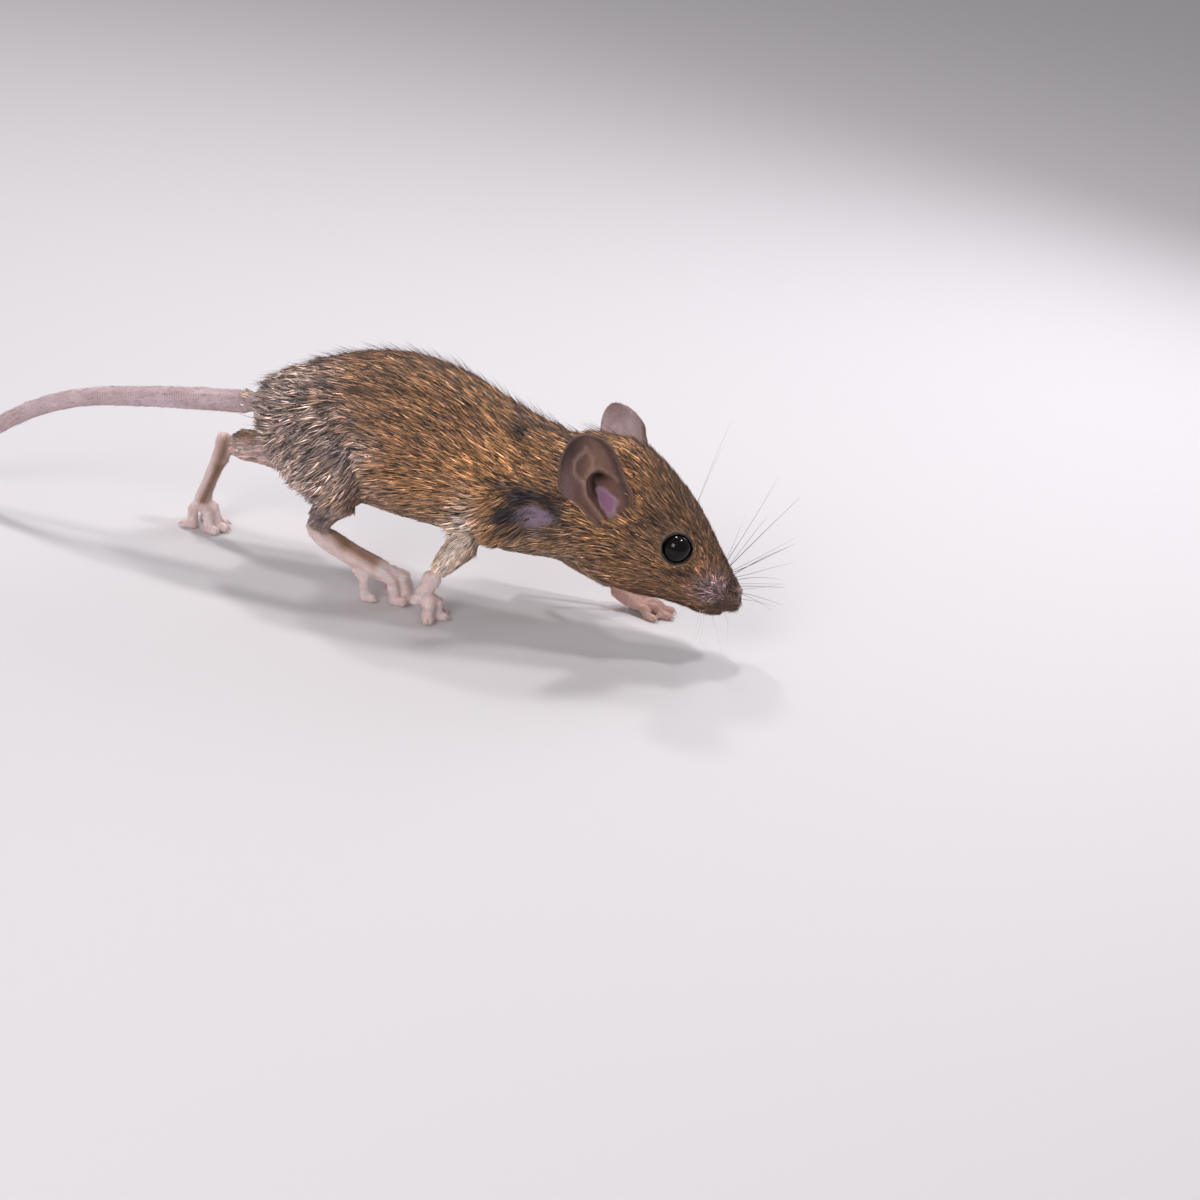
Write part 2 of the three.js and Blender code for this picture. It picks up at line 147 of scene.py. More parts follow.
# %% Floor and lights
def simple_material(name, colour, roughness):
    """A plain finish with its colour and roughness on the shader itself."""
    material = bpy.data.materials.new(name)
    material.use_nodes = True
    shader = material.node_tree.nodes["Principled BSDF"]
    shader.inputs["Base Color"].default_value = (*colour, 1)
    shader.inputs["Roughness"].default_value = roughness
    return material


def lamp(name, place, aim, size, power, colour=(1, 1, 1)):
    """A square soft lamp that looks at a point. Places are in millimetres on the mouse."""
    light = bpy.data.lights.new(name, "AREA")
    light.size = size * MM
    light.energy = power
    light.color = colour
    place = Vector(in_frame(place))
    aim = Vector(in_frame(aim))
    turn = (aim - place).to_track_quat("-Z", "Y").to_matrix().to_4x4()
    new_object(name, light).matrix_world = Matrix.Translation(place) @ turn


FLOOR_SIZE = 6000
FLOOR_CLEARANCE = 0.02
OVERHEAD_LAMPS = [(-230, 200, 400), (-10, 130, 430), (240, 40, 400)]
CHEST = (25, 0, 15)

floor_shape = bmesh.new()
bmesh.ops.create_grid(floor_shape, x_segments=1, y_segments=1, size=FLOOR_SIZE / 2 * MM)
floor = new_object("floor", mesh_of("floor", floor_shape))
floor.location.z = -FLOOR_CLEARANCE * MM
floor.data.materials.append(simple_material("pale_floor", (0.62, 0.60, 0.62), 0.7))

for number, place in enumerate(OVERHEAD_LAMPS):
    lamp(f"overhead_lamp_{number + 1}", place, CHEST, 45, 0.55, (1.0, 0.98, 0.97))
lamp("front_lamp", (-120, -380, 300), CHEST, 200, 0.95, (1.0, 0.97, 0.95))
lamp("rim_lamp", (180, 260, 180), (25, 0, 20), 160, 0.3, (0.95, 0.96, 1.0))

world = bpy.data.worlds.new("pale_room")
bpy.context.scene.world = world
world.use_nodes = True
world.node_tree.nodes["Background"].inputs["Color"].default_value = (0.9, 0.88, 0.92, 1)
world.node_tree.nodes["Background"].inputs["Strength"].default_value = 0.42
bpy.context.scene.view_settings.view_transform = "Standard"
print("five lamps and a floor")

# %% [markdown]
# ## The lines of the body
# A tape laid along the spine from the tail's root to the nose gives every point of the
# animal a place "along" and an angle "around". The same tape is laid along the tail.
# Markings, the lie of the hair and the unwrapped maps are all read from these two.

# %% Spine and tail
SPINE = np.array([
    (-18.6, 0, 26.5), (-12.5, 0, 26.5), (-5.7, 0, 27.3), (2.0, 0, 28.0), (8.6, 0, 27.9),
    (15.5, 0, 27.0), (22.2, 0, 25.2), (28.6, 0, 23.6), (35.1, 0, 23.0), (41.0, 0, 22.9),
    (46.3, 0, 22.0), (51.1, 0, 19.9), (55.7, 0, 17.7), (59.1, 0, 15.4), (62.2, 0, 12.9),
    (64.9, 0, 11.6), (66.8, 0, 11.8),
])
TAIL = np.array([
    (-15.5, 0, 28.2), (-21, 0, 27.8), (-29, 0, 26.6), (-38, 0, 24.9), (-48, 0, 22.4),
    (-57, 0.2, 18.2), (-65, 0.8, 12.2), (-72, 1.8, 6.2), (-79, 3.2, 2.1), (-87, 5.2, 0.9),
    (-95, 8.2, 0.65), (-102.5, 12.4, 0.45),
])


def passed_along(line):
    """How far along a bent line each of its corners is."""
    return np.concatenate([[0], np.cumsum(np.linalg.norm(np.diff(line, axis=0), axis=1))])


def tape(points, line):
    """Where points lie along a bent line, and the line's direction and distance there."""
    start, step = line[:-1], np.diff(line, axis=0)
    length = np.linalg.norm(step, axis=1)
    passed = passed_along(line)
    best = np.full(len(points), np.inf)
    along = np.zeros(len(points))
    heading = np.zeros((len(points), 3))
    for i in range(len(step)):
        share = np.clip((points - start[i]) @ step[i] / length[i] ** 2, 0, 1)
        distance = np.linalg.norm(points - start[i] - share[:, None] * step[i], axis=1)
        closer = distance < best
        best[closer] = distance[closer]
        along[closer] = passed[i] + share[closer] * length[i]
        heading[closer] = step[i] / length[i]
    return along, heading, best


print("spine", round(float(passed_along(SPINE)[-1]), 1), "mm long")

# %% [markdown]
# ## One skin over the flesh
# The solids of the flesh are parted by thin gaps and are faceted. A real skin is one
# closed sheet. So copies of the solids are swollen a little until they touch, then a voxel
# remesh melts them into one surface, as a sculptor fuses lumps of clay. A few more lumps
# fill the elbows and knees, where two solids meet at an angle and the real limb is one
# fold of skin. A smoothing that doesn't shrink takes the facets off.

# %% Remesh and smooth
VOXEL = 0.2


def fused(shape, voxel):
    """The shape remeshed in small voxels, as points in millimetres and four-sided faces."""
    mesh = mesh_of("clay", shape)
    clay = new_object("clay", mesh)
    remesh = clay.modifiers.new("voxels", "REMESH")
    remesh.mode = "VOXEL"
    remesh.voxel_size = voxel * MM
    result = clay.evaluated_get(bpy.context.evaluated_depsgraph_get()).to_mesh()
    points = np.empty(len(result.vertices) * 3)
    result.vertices.foreach_get("co", points)
    corners = np.empty(len(result.loops), int)
    result.loops.foreach_get("vertex_index", corners)
    clay.to_mesh_clear()
    bpy.data.objects.remove(clay)
    bpy.data.meshes.remove(mesh)
    return on_mouse(points.reshape(-1, 3)), corners.reshape(-1, 4)


def edges_of(faces):
    """Each edge of four-sided faces, once."""
    pairs = np.concatenate([faces[:, [i, (i + 1) % 4]] for i in range(4)])
    pairs.sort(axis=1)
    return np.unique(pairs, axis=0)


def neighbours_mean(values, edges):
    """For each point the mean of its neighbours' values."""
    count = np.bincount(edges.ravel(), minlength=len(values)).astype(float)
    columns = values.reshape(len(values), -1).T
    sums = [
        np.bincount(edges[:, 0], column[edges[:, 1]], len(values))
        + np.bincount(edges[:, 1], column[edges[:, 0]], len(values))
        for column in columns
    ]
    return (np.array(sums) / np.maximum(count, 1)).T.reshape(values.shape)


def soften(values, edges, rounds, amount=0.5):
    """Values spread to their neighbours, over and over."""
    for _ in range(rounds):
        values = values + amount * (neighbours_mean(values, edges) - values)
    return values


def take_facets_off(points, edges, rounds):
    """Smooths in and out by turns, so that the form keeps its volume."""
    for _ in range(rounds):
        for amount in (0.55, -0.58):
            points = points + amount * (neighbours_mean(points, edges) - points)
    return points


def normals_of(points, faces):
    """The outward direction at each point."""
    across = np.cross(points[faces[:, 2]] - points[faces[:, 0]], points[faces[:, 3]] - points[faces[:, 1]])
    total = np.zeros_like(points)
    for corner in range(4):
        for axis in range(3):
            total[:, axis] += np.bincount(faces[:, corner], across[:, axis], len(points))
    return unit(total)


print("voxels are", VOXEL, "mm wide")

# %% Fuse the flesh
FLESH = sorted(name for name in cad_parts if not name.startswith(("ear", "eye")))
SWELL = 0.25
JOINTS = [
    ((30.6, 8.8, 15.6), 3.1), ((30.0, 9.2, 13.4), 3.1), ((31.3, 9.6, 12.1), 2.9), ((33.0, 9.9, 10.8), 2.6),
    ((22.2, -8.7, 16.8), 3.0), ((-6.9, 8.0, 19.2), 3.8), ((-9.5, 8.4, 18.2), 3.9),
]

flesh = bmesh.new()
for name in FLESH:
    flesh.from_mesh(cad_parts[name].data)
bmesh.ops.remove_doubles(flesh, verts=flesh.verts, dist=1e-6)
flesh.normal_update()
for vert in flesh.verts:
    vert.co += vert.normal * SWELL * MM
for place, radius in JOINTS:
    middle = Matrix.Translation(Vector(in_frame(place)))
    bmesh.ops.create_icosphere(flesh, subdivisions=3, radius=radius * MM, matrix=middle)
points, faces = fused(flesh, VOXEL)
edges = edges_of(faces)
points = take_facets_off(points, edges, 40)
print("fused flesh:", len(points), "points")

# %% [markdown]
# ## What lies where
# The solids' names say which part of the animal a point belongs to: the nearest solid
# decides. The borders are then blurred over the surface, because hair thins out over a
# few millimetres and never stops at a line.

# %% Parts of the animal on the skin
def nearest_solid(points, names):
    """For each point the number of the solid whose surface is nearest."""
    corners, triangles, owner = [], [], []
    for number, name in enumerate(names):
        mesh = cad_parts[name].data
        first = len(corners)
        corners += [tuple(on_mouse(v.co)) for v in mesh.vertices]
        triangles += [[first + i for i in face.vertices] for face in mesh.polygons]
        owner += [number] * len(mesh.polygons)
    tree = BVHTree.FromPolygons(corners, triangles)
    return np.array([owner[tree.find_nearest(point)[2]] for point in points.tolist()])


def share_of(solid_of_point, names, words, edges, rounds):
    """How much each point belongs to the solids whose names hold one of these words."""
    chosen = [i for i, name in enumerate(names) if any(word in name for word in words)]
    return soften(np.isin(solid_of_point, chosen).astype(float), edges, rounds)


solid = nearest_solid(points, FLESH)
foot = share_of(solid, FLESH, ("foot", "paw"), edges, 30)
tail = share_of(solid, FLESH, ("tail",), edges, 40)
face = share_of(solid, FLESH, ("head",), edges, 60)
leg = share_of(solid, FLESH, ("shank", "forearm"), edges, 60)
print("points on feet:", int((foot > 0.5).sum()), "on the tail:", int((tail > 0.5).sum()))

# %% [markdown]
# ## Room for the coat
# The solids reach out to the tips of the hair, so the skin lies deeper: more than a
# millimetre under the long hair of the back, a hair's breadth on the face, and hardly at
# all on the bare feet and tail.

# %% Sink the skin under the coat
DEPTH = {"body": 1.15, "face": 0.55, "leg": 0.5, "bare": 0.0}


def coat_depth(points, foot, tail, face, leg):
    """How deep the skin lies under the tips of the coat, in millimetres."""
    depth = np.full(len(points), DEPTH["body"])
    depth += (DEPTH["face"] - depth) * face
    depth += (DEPTH["leg"] - depth) * leg
    depth *= 1 - 0.75 * ease(57, 66, points[:, 0])
    depth += (DEPTH["bare"] - depth) * np.maximum(foot, tail)
    return depth


outward = unit(soften(normals_of(points, faces), edges, 12))
sink = soften(coat_depth(points, foot, tail, face, leg), edges, 20) + SWELL
points = points - outward * sink[:, None]
points = soften(points, edges, 2)
print("skin depth from", round(float(sink.min()), 2), "to", round(float(sink.max()), 2), "mm")

# %% [markdown]
# ## Ears
# A mouse's ear is a thin bowl with a rolled front edge. Ridges run from its middle down to
# the ear canal. Each ear is a grid bent by a few smooth functions: how wide the ear is at
# each height, how deep the bowl, and where the ridges stand. Then it gets its thickness.

# %% Measures of the ears
EAR = {"length": 17.4, "width": 11.8, "wall": 0.46, "cup": 2.6, "columns": 56, "rows": 72}
EAR_REACH = 12
EAR_PLANS = {
    "ear_right": {"base": (43.4, -8.4, 22.0), "tip": (37.6, -12.4, 38.2), "facing": (0.4, -0.83, 0.38)},
    "ear_left": {"base": (43.8, 7.6, 22.2), "tip": (40.4, 10.2, 37.2), "facing": (0.46, 0.84, 0.22)},
}
EAR_RIDGES = [
    {
        "line": [
            (0.78, -0.16), (0.40, 0.20), (0.18, 0.20), (-0.10, 0.06), (-0.14, -0.25), (0.0, -0.55),
            (0.12, -0.85),
        ],
        "height": 0.55, "breadth": 0.075,
    },
    {"line": [(-0.12, 0.02), (-0.32, 0.3), (-0.24, 0.55), (0.08, 0.64)], "height": 0.28, "breadth": 0.08},
    {"line": [(0.22, 0.20), (0.30, 0.45), (0.16, 0.72)], "height": 0.2, "breadth": 0.08},
]


def ear_axes(plan):
    """Middle of the ear and its axes: towards the front edge, the tip and the open side."""
    base, tip, facing = (np.array(plan[key], float) for key in ("base", "tip", "facing"))
    along = unit(tip - base)
    across = unit(np.cross(along, facing))
    out = np.cross(across, along)
    front = across * np.sign(across[0])
    return tip - along * EAR["length"] / 2, front, along, out


for name, plan in EAR_PLANS.items():
    print(name, "has its middle at", ear_axes(plan)[0].round(1))

# %% Outline and bowl of an ear
def near_line(x, y, line, breadth):
    """1 on a bent line in the ear's own plane, and fading to 0 beside it."""
    spot = np.stack([x, y, np.zeros_like(x)], axis=1)
    flat = np.array([(*point, 0) for point in line])
    return np.exp(-(tape(spot, flat)[2] / breadth) ** 2)


def ear_half_width(y, front):
    """Half the ear's width at a height from -1 to 1, as a share of half its widest."""
    y = np.clip(y, -1, 1)
    round_end = np.sqrt(np.maximum(1 - y**2, 0))
    blunt_end = np.maximum(1 - np.abs(y) ** 5, 0) ** 0.6
    ahead = np.where(y > 0, 0.97 * round_end**0.9, 0.97 * blunt_end + 0.10 * ease(0.1, -0.5, y))
    behind = np.maximum(round_end, 0.45 * ease(-0.2, -0.7, y)) * (1 - 0.62 * ease(0.45, -0.6, y))
    return np.where(front, ahead, behind)


def ear_spot(x, y, middle, radii):
    """A soft round area on the ear: 1 at its middle, and fading out over its radii."""
    return np.exp(-(((x - middle[0]) / radii[0]) ** 2) - ((y - middle[1]) / radii[1]) ** 2)


def ear_bowl(x, y):
    """How far the inner face stands out of the ear's plane, in millimetres."""
    depth = EAR["cup"] * (x**2 + 0.35 * y**2 - 0.5)
    depth -= 1.9 * ear_spot(x, y, (0.38, -0.36), (0.36, 0.42))
    depth -= 1.1 * ear_spot(x, y, (0.36, -0.08), (0.16, 0.12))
    for ridge in EAR_RIDGES:
        depth += ridge["height"] * near_line(x, y, ridge["line"], ridge["breadth"])
    return depth


canal_depth = ear_bowl(np.array([0.38]), np.array([-0.36]))[0]
print("the bowl is", round(-float(canal_depth), 1), "mm deep at the canal")

# %% The thin sheet of an ear
def ear_points(plan, t, y):
    """Points of the ear's sheet, from its rear edge, t = -1, to its front edge, t = 1."""
    middle, front, along, out = ear_axes(plan)
    x = t * ear_half_width(y, t > 0)
    depth = ear_bowl(x, y)
    curl = ease(0.84, 1.0, t) * ease(0.75, 0.35, y) * ease(-0.95, -0.6, y) * 1.9
    depth = depth + 0.55 * np.sin(curl) + 0.3 * ease(0.8, 1.0, np.abs(t)) * ease(-0.4, 0.4, y)
    x_mm = x * EAR["width"] / 2 - 0.6 * (1 - np.cos(curl)) + 1.3 * ease(-0.5, -1.0, y) * ease(0.1, -0.4, x)
    y_mm = y * EAR["length"] / 2
    return middle + x_mm[:, None] * front + y_mm[:, None] * along + depth[:, None] * out


def ear_sheet(plan):
    """One ear as a closed thin sheet."""
    sheet = bmesh.new()
    bmesh.ops.create_grid(sheet, x_segments=EAR["columns"], y_segments=EAR["rows"], size=1)
    t = np.array([vert.co.x for vert in sheet.verts])
    y = np.sin(np.array([vert.co.y for vert in sheet.verts]) * math.pi / 2)
    for vert, point in zip(sheet.verts, in_frame(ear_points(plan, t, y))):
        vert.co = point
    bmesh.ops.recalc_face_normals(sheet, faces=sheet.faces)
    bmesh.ops.solidify(sheet, geom=sheet.faces[:], thickness=EAR["wall"] * MM)
    bmesh.ops.recalc_face_normals(sheet, faces=sheet.faces)
    return sheet


print("a sheet is", EAR["wall"], "mm thick")

# %% [markdown]
# ## Room under the ears
# The bowl of an ear runs down into the head. The skin of the head would stand through it,
# so it is pressed in under each ear, to a little below the ear's inner face.

# %% Press the head in under the ears
def ear_place(plan, points):
    """Points in the ear's own measures: across, along, and above its inner face."""
    middle, front, along, out = ear_axes(plan)
    x = (points - middle) @ front / (EAR["width"] / 2)
    y = (points - middle) @ along / (EAR["length"] / 2)
    return x, y, (points - middle) @ out - ear_bowl(x, y), out


def under_ear(plan, points):
    """Presses the head in under the ear, so that the bowl stays open down to the canal."""
    x, y, above, out = ear_place(plan, points)
    share = np.abs(x) / np.maximum(ear_half_width(y, x > 0), 1e-3)
    inside = ease(1.02, 0.9, share) * ease(-1.0, -0.88, y) * (y < 1) * (above < 7)
    lower = np.maximum(above + 0.75, 0) * inside
    return points - lower[:, None] * out


for plan in EAR_PLANS.values():
    points = under_ear(plan, points)
print("the head is pressed in under", len(EAR_PLANS), "ears")

# %% [markdown]
# ## Lids, nose and toes
# The eyeball sits in a cup with a soft rolled edge, turned on the eye's axis like a bowl
# on a wheel. The nose is a moist pad between two small wings. A toe is a chain of balls
# from its root over a bent knuckle to the round pad at its tip, a little thinner at the
# knuckle. The next remesh fuses all of these with the skin.

# %% Eye sockets with their lids
EYE_RADIUS = 2.5
EYES = {
    "eye_right": {"middle": EYE_MIDDLE, "axis": unit((0.30, -0.92, 0.25))},
    "eye_left": {"middle": EYE_MIDDLE * (1, -1, 1), "axis": unit((0.30, 0.92, 0.25))},
}
LID_PROFILE = [
    (0, -3.1), (2.0, -2.7), (3.1, -1.7), (3.55, -0.7), (3.3, 0.15), (2.95, 0.72), (2.66, 1.1), (2.44, 1.24),
    (2.27, 1.14), (2.33, 0.98), (2.52, 0.5), (2.57, 0.0), (2.2, -1.33), (1.2, -2.27), (0, -2.57),
]


def facing(axis):
    """A turn that brings Z to an axis and X as far forward as it can be."""
    z = Vector(axis).normalized()
    y = z.cross(Vector((1, 0, 0))).normalized()
    return Matrix((y.cross(z), y, z)).transposed().to_4x4()


def lid_cup(eye):
    """The cup that holds an eyeball, with the lids as its rolled edge."""
    cup = bmesh.new()
    verts = [cup.verts.new((radius * MM, 0, height * MM)) for radius, height in LID_PROFILE]
    profile = [cup.edges.new(pair) for pair in zip(verts, verts[1:])]
    bmesh.ops.spin(
        cup, geom=verts + profile, cent=(0, 0, 0), axis=(0, 0, 1), dvec=(0, 0, 0),
        angle=2 * math.pi, steps=56, use_merge=True, use_duplicate=False,
    )
    bmesh.ops.remove_doubles(cup, verts=cup.verts, dist=1e-6)
    for vert in cup.verts:
        turn = math.atan2(vert.co.y, vert.co.x)
        corner = max(math.cos(turn), 0) ** 12 + 0.7 * max(-math.cos(turn), 0) ** 12
        if vert.co.z > 0.4 * MM:
            vert.co.x *= 1 + 0.10 * corner
            vert.co.z -= 0.22 * corner * MM
    bmesh.ops.recalc_face_normals(cup, faces=cup.faces)
    cup.transform(Matrix.Translation(Vector(in_frame(eye["middle"]))) @ facing(eye["axis"]))
    return cup


print("lids stand", LID_PROFILE[7][1], "mm out of the middle of an eye of radius", EYE_RADIUS)

# %% Toes
TOES = {
    "hind_right": [
        ((3.6, -6.4, 5.0), (6.7, -7.0), 0.5, 0.92), ((7.8, -5.6, 4.6), (11.7, -6.0), 1.1, 1.02),
        ((9.0, -4.7, 4.8), (13.5, -4.3), 1.3, 1.04), ((9.0, -3.6, 4.8), (13.6, -2.5), 1.2, 1.0),
        ((6.4, -3.7, 4.8), (9.4, -1.8), 0.8, 0.84),
    ],
    "hind_left": [
        ((-28.4, 7.3, 4.8), (-30.3, 6.6), 0.6, 0.95), ((-28.0, 7.4, 4.2), (-25.0, 6.0), 0.9, 0.94),
        ((-28.0, 8.2, 4.0), (-23.8, 8.0), 1.2, 0.96), ((-28.0, 9.0, 4.2), (-24.5, 10.3), 1.0, 0.9),
        ((-27.6, 9.2, 6.2), (-28.6, 12.0), 0.5, 0.82),
    ],
    "fore_right": [
        ((16.0, -9.0, 5.8), (14.6, -9.9, 3.5), 0.3, 1.0), ((16.9, -9.0, 3.8), (17.3, -10.7), 0.5, 1.1),
        ((17.2, -8.2, 3.4), (19.4, -8.0), 0.7, 0.88), ((17.0, -7.4, 3.4), (19.0, -5.8), 0.6, 0.8),
    ],
    "fore_left": [
        ((49.0, 10.4, 1.4), (52.6, 8.6), 0.5, 0.76), ((50.2, 11.2, 1.4), (55.0, 10.6), 0.6, 0.84),
        ((50.2, 12.2, 1.4), (55.0, 13.0), 0.6, 0.84), ((49.0, 13.0, 1.4), (52.4, 15.0), 0.5, 0.76),
    ],
}
FLOOR_FLAT = 0.26
TIP_SHARE = 0.9
CLAW_REACH = 2.4


def toe_joints(root, tip, arch, radius):
    """Root, knuckle, pad and end of a toe, and the level direction that it points in."""
    root = np.array(root, float)
    end = np.array(tip if len(tip) == 3 else (*tip, radius * 0.95 - FLOOR_FLAT), float)
    heading = unit((end - root) * (1, 1, 0))
    knuckle = root + 0.45 * (end - root) + (0, 0, arch)
    return root, knuckle, end - heading * radius * 1.3, end, heading


def ball(shape, middle, radii, turn=Matrix()):
    """Adds a round lump to a shape. Middle and radii are in millimetres."""
    size = Matrix.Diagonal((*(np.array(radii, float) * MM), 1))
    place = Matrix.Translation(Vector(in_frame(middle)))
    bmesh.ops.create_icosphere(shape, subdivisions=3, radius=1, matrix=place @ turn @ size)


toes = [toe_joints(*toe) + (toe[3],) for foot_toes in TOES.values() for toe in foot_toes]
for root, knuckle, pad, end, heading, radius in toes:
    beyond = points - end
    reach = np.linalg.norm(beyond, axis=1)
    spike = (reach > radius * TIP_SHARE) & (reach < CLAW_REACH) & (beyond @ heading > radius * 0.1)
    points[spike] = end + unit(beyond[spike]) * radius * TIP_SHARE
print(len(toes), "toes, their claw points drawn in")

# %% Join the details to the skin
NOSE_LUMPS = [
    ((65.95, 0.0, 12.55), (1.25, 1.5, 1.15)),
    ((66.15, 0.85, 12.2), (0.95, 0.8, 0.95)),
    ((65.5, 0.75, 10.75), (1.75, 1.15, 1.35)),
    ((62.0, 2.35, 11.9), (2.9, 2.0, 2.75)),
]


def add_shape(whole, part):
    """Puts one bmesh into another and frees it."""
    mesh = mesh_of("part", part)
    whole.from_mesh(mesh)
    bpy.data.meshes.remove(mesh)


def toe_chain(root, knuckle, pad, end, radius):
    """A toe as a chain of balls, thinnest behind its end."""
    chain = bmesh.new()
    joints = [(root, 0.95), (knuckle, 0.9), (pad, 0.97), (end, 0.85)]
    for (here, girth), (there, next_girth) in zip(joints, joints[1:]):
        for share in (0, 0.35, 0.7):
            size = radius * (girth + share * (next_girth - girth))
            ball(chain, here + share * (there - here), [size] * 3)
    ball(chain, end, (radius * 0.85, radius * 0.85, radius * 0.84))
    return chain


skin_clay = bmesh.new()
mesh = bpy.data.meshes.new("flesh")
mesh.from_pydata(in_frame(points).tolist(), [], faces.tolist())
skin_clay.from_mesh(mesh)
bpy.data.meshes.remove(mesh)
for plan in EAR_PLANS.values():
    add_shape(skin_clay, ear_sheet(plan))
for eye in EYES.values():
    add_shape(skin_clay, lid_cup(eye))
lumps = bmesh.new()
for middle, radii in NOSE_LUMPS:
    for side in (1, -1) if middle[1] else (1,):
        ball(lumps, (middle[0], side * middle[1], middle[2]), radii)
add_shape(skin_clay, lumps)
for root, knuckle, pad, end, heading, radius in toes:
    add_shape(skin_clay, toe_chain(root, knuckle, pad, end, radius))
points, faces = fused(skin_clay, VOXEL)
edges = edges_of(faces)
points = take_facets_off(points, edges, 6)
print("one skin:", len(points), "points")

# %% [markdown]
# ## Nostrils, lips and the cleft
# The finest folds of the face are pressed into the skin after the remesh: two slanted
# nostrils, the cleft under the nose, the fold that parts it from each whisker pad and the
# line where the lips meet.

# %% Press the folds in
MOUTH = np.array([(66.5, 0, 9.2), (65.2, 1.6, 8.9), (63.2, 3.0, 9.0), (61.0, 3.9, 9.6), (59.2, 4.4, 10.7)])
CLEFT = np.array([(67.6, 0, 11.9), (67.4, 0, 10.8), (66.9, 0, 9.6), (66.0, 0, 8.9)])
NOSTRIL = np.array([(67.5, 0.62, 12.1), (66.95, 1.3, 12.35), (66.3, 1.6, 12.8)])
PAD_FOLD = np.array([(65.0, 2.2, 13.6), (64.7, 2.35, 11.9), (64.8, 2.0, 10.3), (65.2, 1.5, 9.2)])
PAIRED_FOLDS = [(NOSTRIL, 0.34, 0.5), (MOUTH, 0.3, 0.45), (PAD_FOLD, 0.4, 0.4)]
MUZZLE_START = 57


def press_line(points, outward, line, breadth, depth, area):
    """Presses a groove along a line into the points of an area."""
    chosen = np.flatnonzero(area)
    press = depth * np.exp(-(tape(points[chosen], line)[2] / breadth) ** 2)
    points[chosen] -= outward[chosen] * press[:, None]


RIGHT_TO_LEFT = np.array([1, -1, 1])
outward = normals_of(points, faces)
muzzle = points[:, 0] > MUZZLE_START
for side in (np.ones(3), RIGHT_TO_LEFT):
    for line, breadth, depth in PAIRED_FOLDS:
        press_line(points, outward, line * side, breadth, depth, muzzle)
press_line(points, outward, CLEFT, 0.2, 0.35, muzzle)
outward = normals_of(points, faces)
print("folds pressed into", int(muzzle.sum()), "points of the muzzle")

# %% [markdown]
# ## The parts on the finished skin
# Colour and hair need to know what each point of the new skin belongs to. The ears are
# found by their own grids, the lids by their distance from the eye's axis, and the rest by
# the nearest solid again.

# %% Ears on the finished skin
solid = nearest_solid(points, FLESH)
ear, ear_across, ear_along, ear_inner = (np.zeros(len(points)) for _ in range(4))
for plan in EAR_PLANS.values():
    middle, front, along, out = ear_axes(plan)
    t, y = np.meshgrid(np.linspace(-1, 1, 61), np.sin(np.linspace(-1, 1, 81) * math.pi / 2))
    t, y = t.ravel(), y.ravel()
    inner_face = ear_points(plan, t, y)
    tree = KDTree(2 * len(t))
    both_faces = np.concatenate([inner_face, inner_face - EAR["wall"] * out])
    for number, spot in enumerate(both_faces.tolist()):
        tree.insert(spot, number)
    tree.balance()
    close_by = np.flatnonzero(np.linalg.norm(points - middle, axis=1) < EAR_REACH)
    found = [tree.find(spot) for spot in points[close_by].tolist()]
    number = np.array([item[1] for item in found])
    apart = np.array([item[2] for item in found])
    ear[close_by] = ease(0.75, 0.45, apart)
    ear_across[close_by] = (t * ear_half_width(y, t > 0))[number % len(t)]
    ear_along[close_by] = y[number % len(t)]
    ear_inner[close_by] = (number < len(t)) & (outward[close_by] @ out > -0.3)
print("points on the ears:", int((ear > 0.5).sum()))

# %% Eyelids, feet, tail and legs
TEAR_FILM = 0.05

lid = np.zeros(len(points))
for eye in EYES.values():
    apart = points - eye["middle"]
    reach = np.linalg.norm(apart, axis=1)
    touching = (reach < EYE_RADIUS + TEAR_FILM) & (apart @ eye["axis"] > 0)
    points[touching] = eye["middle"] + unit(apart[touching]) * (EYE_RADIUS + TEAR_FILM)
    height = apart @ eye["axis"]
    radial = np.linalg.norm(apart - height[:, None] * eye["axis"], axis=1)
    lid = np.maximum(lid, ease(2.85, 2.7, radial) * (height > -3.2))
foot = share_of(solid, FLESH, ("foot", "paw"), edges, 30)
tail = share_of(solid, FLESH, ("tail",), edges, 30)
leg = share_of(solid, FLESH, ("shank", "forearm"), edges, 50)
points[:, 2] = np.maximum(points[:, 2], 0)
print("points on the lids:", int((lid > 0.5).sum()), "on the legs:", int((leg > 0.5).sum()))

# %% [markdown]
# ## The lie of the coat
# Hair points from the nose to the tail, sinks down the flanks and runs down each leg to
# the toes. Each solid says which way its hair points, and the directions are blurred over
# the skin, so that the streams part and meet as they do in life. On the pads of the
# whiskers the hair fans out from the middle.

# %% Which way the hair points
WHISKER_PAD = np.array([62.1, 4.1, 14.6])
LEG_LIE = {
    "hind_leg_right_thigh": (-0.66, 0.0, -0.72), "hind_leg_right_shank": (-0.58, 0.1, -0.8),
    "hind_leg_right_foot": (0.82, 0.1, -0.5), "hind_leg_left_thigh": (-0.85, 0.0, -0.5),
    "hind_leg_left_shank": (-1.0, 0.0, -0.15), "hind_leg_left_foot": (-0.15, 0.0, -1.0),
    "foreleg_right_upper_arm": (-0.78, -0.05, -0.6), "foreleg_right_forearm": (-0.45, 0.0, -0.9),
    "foreleg_right_paw": (0.2, -0.2, -1.0), "foreleg_left_upper_arm": (-0.3, 0.15, -0.95),
    "foreleg_left_forearm": (0.8, 0.1, -0.58), "foreleg_left_paw": (0.97, 0.05, -0.25),
}
tail_along, tail_heading = tape(points, TAIL)[:2]
lie = -tape(points, SPINE)[1]
above_spine = points[:, 2] - np.interp(points[:, 0], SPINE[:, 0], SPINE[:, 2])
